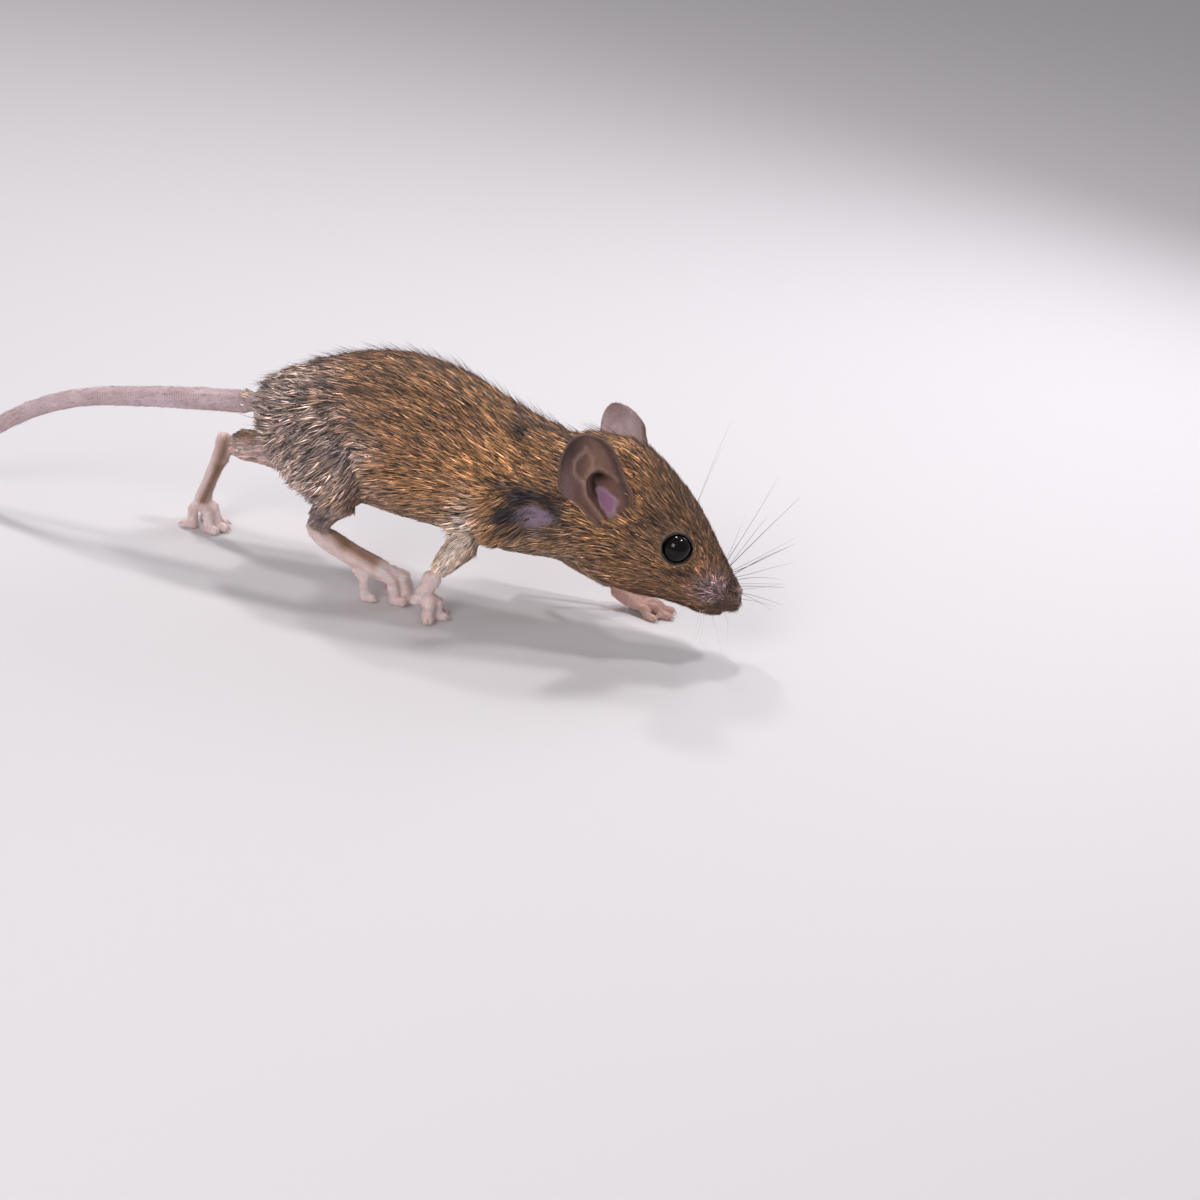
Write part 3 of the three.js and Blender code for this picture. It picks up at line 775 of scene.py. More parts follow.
lie[:, 2] += (0.25 * ease(0, 5, above_spine) - 0.45 * ease(1, -7, above_spine)) * ease(60, 46, points[:, 0])
lie[:, 1] += 0.12 * outward[:, 1]
for number, name in enumerate(FLESH):
    if name in LEG_LIE:
        lie[solid == number] = unit(LEG_LIE[name])
    if name.startswith("tail"):
        lie[solid == number] = tail_heading[solid == number]
for plan in EAR_PLANS.values():
    middle, front, along, out = ear_axes(plan)
    near_ear = (ear > 0.5) & (np.linalg.norm(points - middle, axis=1) < EAR_REACH)
    lie[near_ear] = along
lie = soften(lie, edges, 40)
for side in (1, -1):
    from_pad = points - WHISKER_PAD * (1, side, 1)
    reach = np.linalg.norm(from_pad, axis=1)
    lie += 0.7 * (ease(4.6, 3.0, reach) * ease(0.5, 2.2, reach))[:, None] * unit(from_pad)
lie -= np.sum(lie * outward, axis=1)[:, None] * outward
lie = unit(lie)
print("the hair of the back points", np.round(lie[np.argmax(points[:, 2] * (points[:, 0] < 20))], 2))

# %% [markdown]
# ## Markings
# Skin and coat carry the same markings, so they come from the same functions of place on
# the animal: ochre brown sides, a greyer rump and haunch, a buff belly, a pale patch at
# the elbow, a dark spot on the nape and a bare patch on the neck. Each mark is a soft
# blob with a middle and three radii. Washes of colour are laid over one another in order,
# as with thin paint.
# Some washes are painted light and shade: light on the shoulder, and shade in the groove below the eye and
# behind the forearm.

# %% Tints
OCHRE = np.array([0.425, 0.226, 0.116])
BRIGHT = np.array([0.60, 0.318, 0.135])
BROWN = np.array([0.205, 0.112, 0.062])
GREY = np.array([0.50, 0.375, 0.325])
BUFF = np.array([0.40, 0.285, 0.20])
CREAM = np.array([0.72, 0.60, 0.52])
SLATE = np.array([0.085, 0.068, 0.07])
BLACK = np.array([0.018, 0.014, 0.014])
PINK = np.array([0.85, 0.66, 0.64])
MAUVE = np.array([0.24, 0.175, 0.24])
TAIL_FLESH = np.array([0.54, 0.40, 0.415])
NOSE_FLESH = np.array([0.27, 0.155, 0.145])
PAD_PINK = np.array([0.58, 0.41, 0.45])
SHANK_PINK = np.array([0.62, 0.45, 0.43])
print("ochre is", OCHRE, "and the tips are", BLACK)

# %% Marks and washes
def mark(points, middle, radii, mirrored=False):
    """A soft blob: 1 at its middle, and fading out over its radii."""
    apart = points - np.array(middle, float)
    if mirrored:
        apart = np.stack([apart[:, 0], np.abs(points[:, 1]) - abs(middle[1]), apart[:, 2]], axis=1)
    return np.exp(-np.sum((apart / np.array(radii, float)) ** 2, axis=1))


def blend(colour, other, share):
    """Colours mixed by a share for each point."""
    return colour + (other - colour) * np.clip(share, 0, 1)[:, None]


def ripple(points, size, seed):
    """A soft random field between about -1 and 1, with waves of a given size."""
    chance = np.random.default_rng(seed)
    total = np.zeros(len(points))
    for _ in range(7):
        wave = unit(chance.normal(size=3)) * 2 * math.pi / (size * chance.uniform(0.7, 1.5))
        total += np.sin(points @ wave + chance.uniform(0, 2 * math.pi))
    return total / 3.2


def stripe(points, start, end, breadth):
    """1 along a line seen from the side, given as (x, z), and fading over a breadth."""
    line = np.array([(start[0], 0, start[1]), (end[0], 0, end[1])], float)
    return np.exp(-(tape(points * (1, 0, 1), line)[2] / breadth) ** 2)


def washed(colour, washes):
    """A colour with washes laid over it in order. Each wash is a tint and its share."""
    for tint, share in washes.values():
        colour = blend(colour, np.asarray(tint), share)
    return colour


sample = ripple(points, 7, 11)
print("ripples run from", round(float(sample.min()), 1), "to", round(float(sample.max()), 1))

# %% Rump, dark marks and the bare patch
def rump_share(points):
    """How grey the rump and haunches are at each point."""
    border = 6.0 - 1.15 * np.maximum(points[:, 2] - 28, 0)
    border = border + 2.0 * ripple(points, 7, 11) + 1.2 * ripple(points, 2.6, 12)
    return ease(border + 6, border - 6, points[:, 0])


DARK_MARKS_AND_SHADE = [
    (1.3, (28.8, -4.6, 33.4), (1.4, 2.2, 1.4)),
    (1.5, (31.5, -8.8, 25.3), (3.6, 2.5, 1.2)),
    (1.2, (36.4, -8.6, 23.6), (1.9, 2.5, 2.2)),
    (1.2, (28.2, -9.2, 22.6), (1.5, 2.5, 1.5)),
    (0.7, (33.5, -9.2, 19.6), (3.0, 2.5, 0.7)),
    (0.9, (31.0, -9.2, 22.2), (3.5, 2.5, 1.6)),
    (0.8, (29.0, -9.2, 19.8), (2.0, 2.5, 0.8)),
    (0.8, (26.9, -9.4, 26.2), (1.9, 2.0, 0.6)),
    (0.6, (1.8, -7.6, 36.4), (2.2, 2.5, 1.0)),
    (0.5, (46.6, -8.4, 22.4), (1.8, 2.0, 0.7)),
    # painted shade in the groove below the eye, not a marking of the coat
    (0.45, (56.3, -6.6, 16.4), (2.2, 2.0, 0.7)),
]


def dark_share(points):
    """Where the coat is nearly black: the spot, the ring round the bare patch, streaks, and painted shade
    in the groove below the eye.
    """
    return np.clip(sum(strength * mark(points, *place) for strength, *place in DARK_MARKS_AND_SHADE), 0, 1)


def bare_share(points):
    """The bare patch on the near side of the neck."""
    edge = 1 + 0.35 * ripple(points, 2.6, 21)
    return np.clip(1.5 * mark(points, (32.0, -9.0, 22.0), (3.1, 3.2, 1.8)) * edge, 0, 1)


print(len(DARK_MARKS_AND_SHADE), "dark marks and painted shade, and", int((bare_share(points) > 0.5).sum()), "points in the bare patch")

# %% Colours of the coat
def coat_colour(points, outward):
    """The colour of the outer half of the hair, with painted light on the shoulder and painted shade below
    the eye and behind the forearm.
    """
    x, z = points[:, 0], points[:, 2]
    rising = outward[:, 2]
    below = ease(-0.1, -0.7, rising)
    rump = rump_share(points)
    near = points[:, 1] < 0
    return washed(np.tile(OCHRE, (len(points), 1)), {
        "back": (BROWN, 0.4 * ease(0.3, 0.9, rising) * ease(50, 40, x)),
        "warm streaks": (BRIGHT, 0.35 * ease(0.8, -0.4, ripple(points, 9, 3)) * ease(4, 14, x)),
        "belly": (BUFF, below * 0.85 * ease(48, 40, x)),
        "throat": (BROWN, below * 0.6 * ease(42, 48, x)),
        "rump": (GREY, rump * 0.85),
        "tail root": (GREY * 1.12, 0.8 * rump * ease(-4, -12, x)),
        "thigh": (OCHRE * 0.95, 0.5 * mark(points, (4.0, -9.5, 19.5), (4.5, 5, 5))),
        "hip": (SLATE * 2.2, 0.6 * mark(points, (-0.5, -9.5, 28.5), (4.2, 5, 2.6))),
        "bridge": (BROWN, 0.6 * ease(47, 53, x) * ease(-0.3, 0.6, rising)),
        "temple": (BROWN, 0.5 * mark(points, (50.5, 6.5, 22.5), (5, 4, 4), True)),
        "before the ear": (BRIGHT, 1.2 * mark(points, (46.9, 7.6, 28.0), (1.7, 3.2, 5.4), True)),
        "crown": (BRIGHT, 0.55 * mark(points, (44.5, 0.0, 34.0), (4.5, 6.0, 2.5))),
        "under the eye": (BRIGHT, 0.9 * mark(points, (55.6, 7.0, 17.4), (3.4, 3.0, 0.75), True)),
        # painted shade: the groove between the cheek and the whisker pad is darkened
        "painted shade in the groove below the eye": (BROWN * 0.8, 0.8 * mark(points, (57.4, 5.6, 15.6), (3.6, 3.0, 0.9), True)),
        "cheek": (BROWN, 0.45 * mark(points, (50.0, 6.0, 15.0), (7.0, 4.0, 2.6), True)),
        "lips": (BROWN, 0.6 * ease(57, 60, x) * ease(13.5, 10.5, z)),
        "muzzle": (BROWN * 0.85, 0.8 * ease(61.5, 65, x)),
        "whisker pad": (PAD_PINK, 0.85 * mark(points, (62.4, 4.0, 14.0), (2.8, 2.2, 2.1), True)),
        "elbow": (CREAM, 1.0 * mark(points, (22.0, 8.8, 18.6), (2.4, 4.0, 4.4), True)),
        "breast": (CREAM, 0.4 * mark(points, (35.0, 8.6, 19.6), (4.0, 3.0, 1.2), True)),
        # partly the brown hair on the inner side of the forearm, partly painted shade behind it
        "brown hair and painted shade behind the forearm": (BROWN * 0.6, 0.9 * near * stripe(points, (25.4, 15.6), (21.9, 8.4), 1.4)),
        "forearm": (CREAM * 1.1, 1.1 * near * stripe(points, (20.9, 16.4), (17.3, 7.6), 2.1)),
        "knee": (SLATE * 1.6, 0.85 * mark(points, (-3.2, -8.4, 14.2), (2.4, 4.0, 1.9))),
        "far thigh": (SLATE * 3.0, 0.6 * mark(points, (-15.0, 8.0, 18.5), (4.5, 4.0, 3.5))),
        "far shank": (SHANK_PINK, 0.9 * mark(points, (-19.6, 7.0, 16.2), (4.4, 4.0, 2.6))),
        "far hock": (BROWN * 1.2, 0.85 * (1 - near) * stripe(points, (-26.4, 18.9), (-20.0, 19.4), 1.2)),
        "neck": (BROWN, 0.75 * mark(points, (38.0, 8.6, 20.4), (3.4, 4.0, 4.0), True)),
        "forehead": (BROWN, 0.35 * mark(points, (46.5, 0.0, 34.5), (4.0, 7.0, 3.0))),
        # painted light: the shoulder is made brighter where the front-left light falls on it
        "shoulder": (BRIGHT * 1.15, 0.8 * mark(points, (26.5, 9.5, 29.2), (6.0, 5.0, 4.5), True)),
        "jaw": (BROWN * 0.8, 0.5 * mark(points, (42.5, 9.0, 18.4), (4.5, 5.0, 2.6), True)),
        "snout": (OCHRE * 1.3, 0.7 * mark(points, (60.2, 3.8, 17.6), (2.6, 3.0, 1.6), True)),
        "haunch": (CREAM * 0.8, 0.35 * mark(points, (-3.7, -9.5, 21.3), (5.0, 4.0, 3.6))),
        "far wrist": (CREAM * 0.7, 0.7 * mark(points, (42.0, 11.0, 5.0), (6.0, 4.0, 3.0))),
        "chin": (BROWN * 0.9, 0.4 * mark(points, (52.0, 4.0, 9.6), (8.0, 5.0, 2.0), True)),
        "above the knee": (SLATE * 1.8, 0.6 * mark(points, (-3.0, -8.6, 17.0), (5.0, 4.0, 3.0))),
        "flank": (OCHRE * 0.8, 0.4 * mark(points, (14.0, -10.0, 24.0), (8.0, 5.0, 6.0))),
        "dark marks and painted shade": (BLACK * 1.8, dark_share(points)),
    })


coat_paint = coat_colour(points, outward)
print("mean colour of the coat:", coat_paint.mean(axis=0).round(3))

# %% [markdown]
# ## Colours of the bare parts
# The ear is brown inside, with paler ridges, a dark canal and a mauve lobe. The feet are
# pink, browner along the top, and the tail is a dull flesh colour, darker above. The rims
# of the lids are black.
# Some of this is painted light and shade: highlights on the ear's ridges, shade in the canal and the front
# fold, a glow on the thin back of the ear, and shade on the leading paw.

# %% Colours of the ears
def ear_colour(across, along, inner):
    """The skin of the ears, from the ear's own measures, with painted highlights on the ridges, painted
    shade in the canal and the front fold, and a painted glow on the back.
    """
    edge = np.abs(across) / np.maximum(ear_half_width(along, across > 0), 1e-3)
    # painted highlight: the ridges of the bowl are painted paler where they catch the light
    ridges = {
        number: ((0.42, 0.27, 0.21), 0.6 * near_line(across, along, ridge["line"], 0.06))
        for number, ridge in enumerate(EAR_RIDGES)
    }
    # painted shade: the canal is a hollow, painted near black
    canal = ear_spot(across, along, (0.42, -0.08), (0.22, 0.13))
    canal = np.maximum(canal, ear_spot(across, along, (0.22, -0.28), (0.1, 0.2)))
    wobble = 1 + 0.14 * np.sin(7 * across + 11 * along) + 0.1 * np.sin(23 * along)
    lean = across - 0.41 + 0.12 * (along + 0.62)
    lobe = np.sqrt((lean / 0.2) ** 2 + ((along + 0.62) / 0.24) ** 2) * wobble
    # painted shadow: the fold behind the rolled front edge is darkened
    front_edge = ease(0.70, 0.82, edge) * ease(0.99, 0.93, edge) * (across > 0)
    fold = front_edge * ease(-0.9, -0.5, along) * ease(0.95, 0.8, along)
    inside = washed(np.tile((0.20, 0.106, 0.084), (len(across), 1)), {
        "tip": ((0.07, 0.04, 0.03), ease(0.25, 0.85, along) * ease(0.6, -0.3, across)),
        "glow": ((0.27, 0.155, 0.10), 0.8 * ear_spot(across, along, (0.42, 0.42), (0.3, 0.26))),
        "rear edge": ((0.24, 0.15, 0.165), 0.7 * ear_spot(across, along, (-0.68, 0.08), (0.25, 0.4))),
        **ridges,
        # painted shade in the canal
        "canal": ((0.04, 0.017, 0.012), 1.1 * canal),
        "lobe": ((0.46, 0.31, 0.38), 0.85 * ease(1.2, 0.9, lobe)),
        "middle of the lobe": ((0.30, 0.13, 0.25), 0.9 * ease(0.95, 0.6, lobe)),
        "painted shadow in the front fold": ((0.075, 0.042, 0.036), 0.75 * fold),
    })
    # the back of the ear: pinkish-grey skin, painted lighter as a glow of light through the thin ear
    outside = washed(np.tile((0.54, 0.41, 0.44), (len(across), 1)), {
        "edge": ((0.30, 0.20, 0.20), ease(0.55, 1.0, np.maximum(edge, np.abs(along)))),
        "root": ((0.26, 0.15, 0.11), ease(0.0, -0.6, along)),
    })
    rim = ease(0.95, 1.0, np.maximum(edge, along)) * ease(-0.2, 0.4, along)
    return washed(outside, {
        "inside": (inside, inner),
        "rim": ((0.10, 0.062, 0.052), 0.8 * rim),
    })


ears = ear_colour(ear_across, ear_along, ear_inner)
print("mean colour of the ears:", ears[ear > 0.5].mean(axis=0).round(3))

# %% Colours of nose, feet and tail
def nose_share(points):
    """The moist bare pad at the tip of the nose."""
    return ease(66.2, 66.8, points[:, 0]) * ease(10.9, 11.6, points[:, 2])


def foot_colour(points, outward):
    """Pink skin, with brown along the top of the near foot and the far shank, and the leading paw browner
    and darkened by painted shade.
    """
    top = ease(-0.2, 0.35, outward[:, 2] + 0.5 * outward[:, 0])
    near = points[:, 1] < 0
    return washed(np.tile(PINK, (len(points), 1)), {
        "pale patches": (PINK * (1.1, 1.18, 1.18), 0.5 + 0.4 * ripple(points, 2.6, 5)),
        "red patches": (PINK * (0.94, 0.82, 0.82), 0.3 + 0.3 * ripple(points, 1.3, 6)),
        "near ankle": (BROWN * 1.3, 0.9 * near * top * stripe(points, (-3.0, 12.8), (1.0, 9.7), 1.1)),
        "near sole": (BROWN * 1.6, 0.8 * near * top * stripe(points, (1.0, 9.7), (6.2, 7.0), 0.8)),
        "far ankle": (BROWN * 1.2, 0.9 * (1 - near) * stripe(points, (-24.6, 17.2), (-25.4, 12.2), 1.0)),
        "far sole": (BROWN * 1.2, 0.9 * (1 - near) * stripe(points, (-25.4, 12.2), (-27.6, 5.6), 0.8)),
        # the leading fore paw: brownish-pink skin, darkened further as painted shade
        "leading paw, browner and in painted shade": ((0.52, 0.30, 0.24), 0.75 * (points[:, 0] > 40)),
    })


def tail_colour(points, outward):
    """Dull flesh, darker above and paler in patches."""
    # a paler, cooler spot on top of the tail near its root
    pale_bit = mark(points, (-33.0, -1.0, 24.6), (4.5, 2.5, 1.8))
    return washed(np.tile(TAIL_FLESH, (len(points), 1)), {
        "top": (TAIL_FLESH * 0.72, ease(0.2, 0.9, outward[:, 2]) * 0.6),
        "patches": (TAIL_FLESH * (1.2, 1.25, 1.3), 0.4 + 0.4 * ripple(points, 5, 8)),
        "pale bit": (TAIL_FLESH * (1.3, 1.4, 1.6), 0.8 * pale_bit),
        "brown side": (BROWN * 2.0, 0.5 * mark(points, (-23.0, -1.5, 25.6), (5.0, 2.0, 0.8))),
    })


print("points on the nose pad:", int((nose_share(points) > 0.5).sum()))

# %% Paint the skin
# under the coat the skin is the coat's colour dimmed and greyed: partly the slate of the underfur, partly
# painted shade in the gaps between the tufts
skin_paint = washed(coat_paint * 0.72, {
    "slate and painted shade under the coat": (SLATE, np.full(len(points), 0.18)),
    "bare patch": (MAUVE, bare_share(points)),
    "feet": (foot_colour(points, outward), foot),
    "tail": (tail_colour(points, outward), tail),
    "snout": (NOSE_FLESH * 1.15, 0.8 * ease(61, 64.5, points[:, 0])),
    "nose": (NOSE_FLESH, nose_share(points)),
    "lids": (BLACK * 1.5, lid),
    "ears": (ears, ear),
})
print("mean colour of the skin:", skin_paint.mean(axis=0).round(3))

# %% [markdown]
# ## The skin as a piece
# The voxels left more points than the form needs. Decimate collapses the edges that change
# the form least, so smooth stretches thin out, and toes, ridges and folds keep their points.
# The piece then stands for every solid of flesh.

# %% Mesh with paint, without loose islands
def painted_mesh(name, points, faces, colours, values):
    """A mesh with a colour and some numbers on each of its points."""
    mesh = bpy.data.meshes.new(name)
    mesh.from_pydata(in_frame(points).tolist(), [], faces.tolist())
    opaque = np.hstack([colours, np.ones((len(points), 1))]).astype(np.float32)
    mesh.color_attributes.new("paint", "FLOAT_COLOR", "POINT").data.foreach_set("color", opaque.ravel())
    for key, value in values.items():
        attribute = mesh.attributes.new(key, "FLOAT", "POINT")
        attribute.data.foreach_set("value", value.astype(np.float32))
    mesh.polygons.foreach_set("use_smooth", np.ones(len(faces), bool))
    mesh.update()
    return mesh


def main_shell(mesh):
    """Deletes loose islands: only the shell that holds the most points stays."""
    shape = bmesh.new()
    shape.from_mesh(mesh)
    shape.verts.ensure_lookup_table()
    seen, largest = set(), []
    for start in shape.verts:
        if start in seen:
            continue
        island, front = [start], [start]
        seen.add(start)
        while front:
            vert = front.pop()
            for edge in vert.link_edges:
                other = edge.other_vert(vert)
                if other not in seen:
                    seen.add(other)
                    island.append(other)
                    front.append(other)
        if len(island) > len(largest):
            largest = island
    keep = set(largest)
    bmesh.ops.delete(shape, geom=[vert for vert in shape.verts if vert not in keep], context="VERTS")
    shape.to_mesh(mesh)
    shape.free()


numbers = {"tail_along": tail_along, "on_tail": tail, "on_foot": foot, "wet": nose_share(points)}
skin_mesh = painted_mesh("skin", points, faces, skin_paint, numbers)
main_shell(skin_mesh)
print(len(points) - len(skin_mesh.vertices), "loose points deleted")

# %% Thin the skin out
SKIN_TRIANGLES = 190000

skin = new_object("skin", skin_mesh)
thin = skin.modifiers.new("thin", "DECIMATE")
thin.use_collapse_triangulate = True
thin.ratio = SKIN_TRIANGLES / (2 * len(faces))
thinned = bpy.data.meshes.new_from_object(skin.evaluated_get(bpy.context.evaluated_depsgraph_get()))
skin.modifiers.clear()
skin.data = thinned
bpy.data.meshes.remove(skin_mesh)
thinned.name = "skin"
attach(skin, "root")
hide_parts(*FLESH, *EAR_PLANS)
print("the skin has", len(thinned.polygons), "faces")

# %% [markdown]
# ## The finish of the skin
# Bare skin is soft, so light enters a little way: that is subsurface scattering, with a
# reach of half a millimetre. Its fine form is bump: scales in rings round the tail, a
# pebbled grain on the feet and a fine grain all over. The nose is the only wet part.
# The grooves between the tail's rings are also darkened in colour: that is painted shade.

# %% Helpers for nodes
def add_node(material, kind, place, **settings):
    """A node of a kind at a place in the material's tree, with its settings."""
    node = material.node_tree.nodes.new(kind)
    node.location = place
    for key, value in settings.items():
        setattr(node, key, value)
    return node


def math_node(material, operation, place, first, second):
    """A Math node. Each input is a number or another node's output."""
    node = add_node(material, "ShaderNodeMath", place, operation=operation)
    for socket, value in zip(node.inputs, (first, second)):
        if isinstance(value, (int, float)):
            socket.default_value = value
        else:
            material.node_tree.links.new(value, socket)
    return node.outputs[0]


def read(material, name, output, place):
    """The output of a node that reads one of the mesh's own attributes."""
    return add_node(material, "ShaderNodeAttribute", place, attribute_name=name).outputs[output]


def noise(material, scale, detail, place):
    """Noise on Object coordinates. The scale is in waves per metre."""
    coordinates = add_node(material, "ShaderNodeTexCoord", (place[0] - 200, place[1]))
    node = add_node(material, "ShaderNodeTexNoise", place)
    node.inputs["Scale"].default_value = scale
    node.inputs["Detail"].default_value = detail
    material.node_tree.links.new(coordinates.outputs["Object"], node.inputs["Vector"])
    return node.outputs["Fac"]


def ranged(material, value, low, high, place, value_low=0):
    """A value that runs from value_low to 1, spread from low to high."""
    node = add_node(material, "ShaderNodeMapRange", place)
    node.inputs["From Min"].default_value = value_low
    node.inputs["To Min"].default_value = low
    node.inputs["To Max"].default_value = high
    material.node_tree.links.new(value, node.inputs["Value"])
    return node.outputs["Result"]


def multiplied(material, colour, factor, place):
    """A colour multiplied by a grey factor."""
    node = add_node(material, "ShaderNodeMix", place, data_type="RGBA", blend_type="MULTIPLY")
    node.inputs["Factor"].default_value = 1
    material.node_tree.links.new(colour, node.inputs["A"])
    material.node_tree.links.new(factor, node.inputs["B"])
    return node.outputs["Result"]


print("helpers for nodes are ready")

# %% Softness and colour of the skin
skin_material = simple_material("mouse_skin", (0.6, 0.45, 0.4), 0.5)
links = skin_material.node_tree.links
shader = skin_material.node_tree.nodes["Principled BSDF"]
shader.inputs["Subsurface Weight"].default_value = 0.22
shader.inputs["Subsurface Radius"].default_value = (1.0, 0.45, 0.3)
shader.inputs["Subsurface Scale"].default_value = 0.0006
shader.inputs["Specular IOR Level"].default_value = 0.4

blotches = ranged(skin_material, noise(skin_material, 900, 4, (-900, 300)), 0.84, 1.14, (-700, 300))
painted = read(skin_material, "paint", "Color", (-700, 500))
tinted = multiplied(skin_material, painted, blotches, (-400, 300))
print("colour of the skin:", len(skin_material.node_tree.nodes), "nodes")

# %% Rings, pebbles and gloss
RING_WIDTH = 0.42

tail_place = read(skin_material, "tail_along", "Fac", (-1500, -100))
on_tail = read(skin_material, "on_tail", "Fac", (-1500, -300))
on_foot = read(skin_material, "on_foot", "Fac", (-1500, -500))
turns = math_node(skin_material, "MULTIPLY", (-1300, -100), tail_place, 2 * math.pi / RING_WIDTH)
wander = math_node(skin_material, "MULTIPLY", (-1300, 50), noise(skin_material, 700, 2, (-1500, 50)), 3.0)
phase = math_node(skin_material, "ADD", (-1150, -100), turns, wander)
rings = math_node(skin_material, "SINE", (-1000, -100), phase, 0)
ring_height = math_node(skin_material, "MULTIPLY", (-850, -100), rings, on_tail)

pebbles = add_node(skin_material, "ShaderNodeTexVoronoi", (-1100, -500))
pebbles.inputs["Scale"].default_value = 3200
place_of_skin = add_node(skin_material, "ShaderNodeTexCoord", (-1300, -600))
links.new(place_of_skin.outputs["Object"], pebbles.inputs["Vector"])
pebble_height = math_node(skin_material, "MULTIPLY", (-850, -500), pebbles.outputs["Distance"], on_foot)
grain = noise(skin_material, 5200, 3, (-900, -750))
foot_height = math_node(skin_material, "MULTIPLY_ADD", (-650, -500), pebble_height, -1.4)
links.new(grain, foot_height.node.inputs[2])
relief = math_node(skin_material, "MULTIPLY_ADD", (-450, -300), ring_height, 0.55)
links.new(foot_height, relief.node.inputs[2])
bump = add_node(skin_material, "ShaderNodeBump", (-250, -300))
bump.inputs["Strength"].default_value = 0.55
bump.inputs["Distance"].default_value = 0.00009
links.new(relief, bump.inputs["Height"])
links.new(bump.outputs["Normal"], shader.inputs["Normal"])

# painted shade: the colour is darkened in the grooves between the tail's rings
ring_shade = ranged(skin_material, ring_height, 0.92, 1.05, (-400, 60), -1)
ringed = multiplied(skin_material, tinted, ring_shade, (-200, 300))
links.new(ringed, shader.inputs["Base Color"])
gloss = ranged(skin_material, read(skin_material, "wet", "Fac", (-450, -60)), 0.58, 0.28, (-200, 60))
links.new(gloss, shader.inputs["Roughness"])
skin.data.materials.clear()
skin.data.materials.append(skin_material)
print("skin finish:", len(skin_material.node_tree.nodes), "nodes")

# %% [markdown]
# ## Eyes
# The eye of a mouse is almost all pupil: a wet black bead with a breath of brown in the
# iris, so that it isn't a dead hole. A smooth ball with hardly any roughness mirrors the
# lamps as small bright points.

# %% Eyes
def two_tone(material, scale, detail, dark, pale):
    """Colours a material between two tones by noise."""
    links = material.node_tree.links
    ramp = add_node(material, "ShaderNodeValToRGB", (-400, 0))
    ramp.color_ramp.elements[0].color = (*dark, 1)
    ramp.color_ramp.elements[1].color = (*pale, 1)
    links.new(noise(material, scale, detail, (-700, 0)), ramp.inputs["Fac"])
    links.new(ramp.outputs["Color"], material.node_tree.nodes["Principled BSDF"].inputs["Base Color"])


eye_material = simple_material("eye", (0.006, 0.004, 0.005), 0.035)
eye_shader = eye_material.node_tree.nodes["Principled BSDF"]
eye_shader.inputs["Specular IOR Level"].default_value = 0.24
two_tone(eye_material, 1500, 2, (0.0008, 0.0006, 0.001), (0.003, 0.0018, 0.0018))


def piece_of(name, shape, material):
    """A finished piece from a bmesh: smooth, riding on the mouse, with its material."""
    mesh = mesh_of(name, shape)
    mesh.polygons.foreach_set("use_smooth", np.ones(len(mesh.polygons), bool))
    mesh.materials.append(material)
    piece = new_object(name, mesh)
    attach(piece, "root")
    return piece


for name, eye in EYES.items():
    eyeball = bmesh.new()
    bmesh.ops.create_uvsphere(eyeball, u_segments=48, v_segments=32, radius=EYE_RADIUS * MM)
    eyeball.transform(Matrix.Translation(Vector(in_frame(eye["middle"]))) @ facing(eye["axis"]))
    piece = piece_of(f"eyeball_{name[4:]}", eyeball, eye_material)
    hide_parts(name)
print("two eyeballs of", 2 * EYE_RADIUS, "mm")

# %% [markdown]
# ## Claws
# A claw is a small curved cone of horn. A ring of points starts inside the toe and is
# extruded along a falling curve, narrowing as it goes.

# %% Claws
def sweep(shape, line, radii, sides):
    """A closed tapering rod along a line of points in millimetres."""
    line = np.array(line, float)
    heading = unit(np.gradient(line, axis=0))
    ring = bmesh.ops.create_circle(shape, cap_ends=True, segments=sides, radius=1)["verts"]
    for step, (place, direction, radius) in enumerate(zip(line, heading, radii)):
        frame_of_ring = Matrix.Translation(Vector(in_frame(place))) @ facing(direction)
        circle = [
            (radius * MM * math.cos(turn), radius * MM * math.sin(turn), 0)
            for turn in (2 * math.pi * i / sides for i in range(sides))
        ]
        if step:
            edges_of_ring = {
                edge for vert in ring for edge in vert.link_edges if edge.other_vert(vert) in ring
            }
            grown = bmesh.ops.extrude_edge_only(shape, edges=list(edges_of_ring))["geom"]
            made = [item for item in grown if isinstance(item, bmesh.types.BMVert)]
            ring = sorted(made, key=lambda vert: min(range(sides), key=lambda i: (vert.co - old[i]).length))
        for vert, spot in zip(ring, circle):
            vert.co = frame_of_ring @ Vector(spot)
        old = [vert.co.copy() for vert in ring]
    bmesh.ops.contextual_create(shape, geom=ring)


CLAW = {"length": 1.05, "radius": 0.25, "drop": 0.7}
CLAW_TAPER = np.array([1, 0.9, 0.68, 0.4, 0.1])
CLAW_CLEARANCE = 0.03

horn = simple_material("claw_horn", (0.50, 0.40, 0.34), 0.35)
two_tone(horn, 1800, 3, (0.34, 0.24, 0.19), (0.78, 0.68, 0.60))

claws = bmesh.new()
for root, knuckle, pad, end, heading, radius in toes:
    quick = end + heading * radius * 0.35 + (0, 0, radius * 0.35)
    line = [
        quick + heading * CLAW["length"] * share - np.array([0, 0, CLAW["drop"] * share**2])
        for share in (0, 0.25, 0.5, 0.75, 1)
    ]
    line = np.array(line)
    line[:, 2] = np.maximum(line[:, 2], CLAW_CLEARANCE)
    sweep(claws, line, CLAW["radius"] * CLAW_TAPER, 8)
bmesh.ops.recalc_face_normals(claws, faces=claws.faces)
piece_of("claws", claws, horn)
print(len(toes), "claws")

# %% [markdown]
# ## One tuft
# The coat is built from tufts: a tuft is a few hairs that cling together, so it is a thin
# closed spindle with three sides. Its root is slate, its middle has the colour of the
# marking, and its tip is often black: that banding gives a wild mouse its ticked look.
# Thousands of spindles are one mesh, made from arrays, because no operator repeats a shape
# along a flowing field.
# The slate at the roots is also kept dark as painted shade in the gaps between tufts.

# %% Mesh of many tufts
PATCH = 0.003
FLOOR_SPACE = 0.02


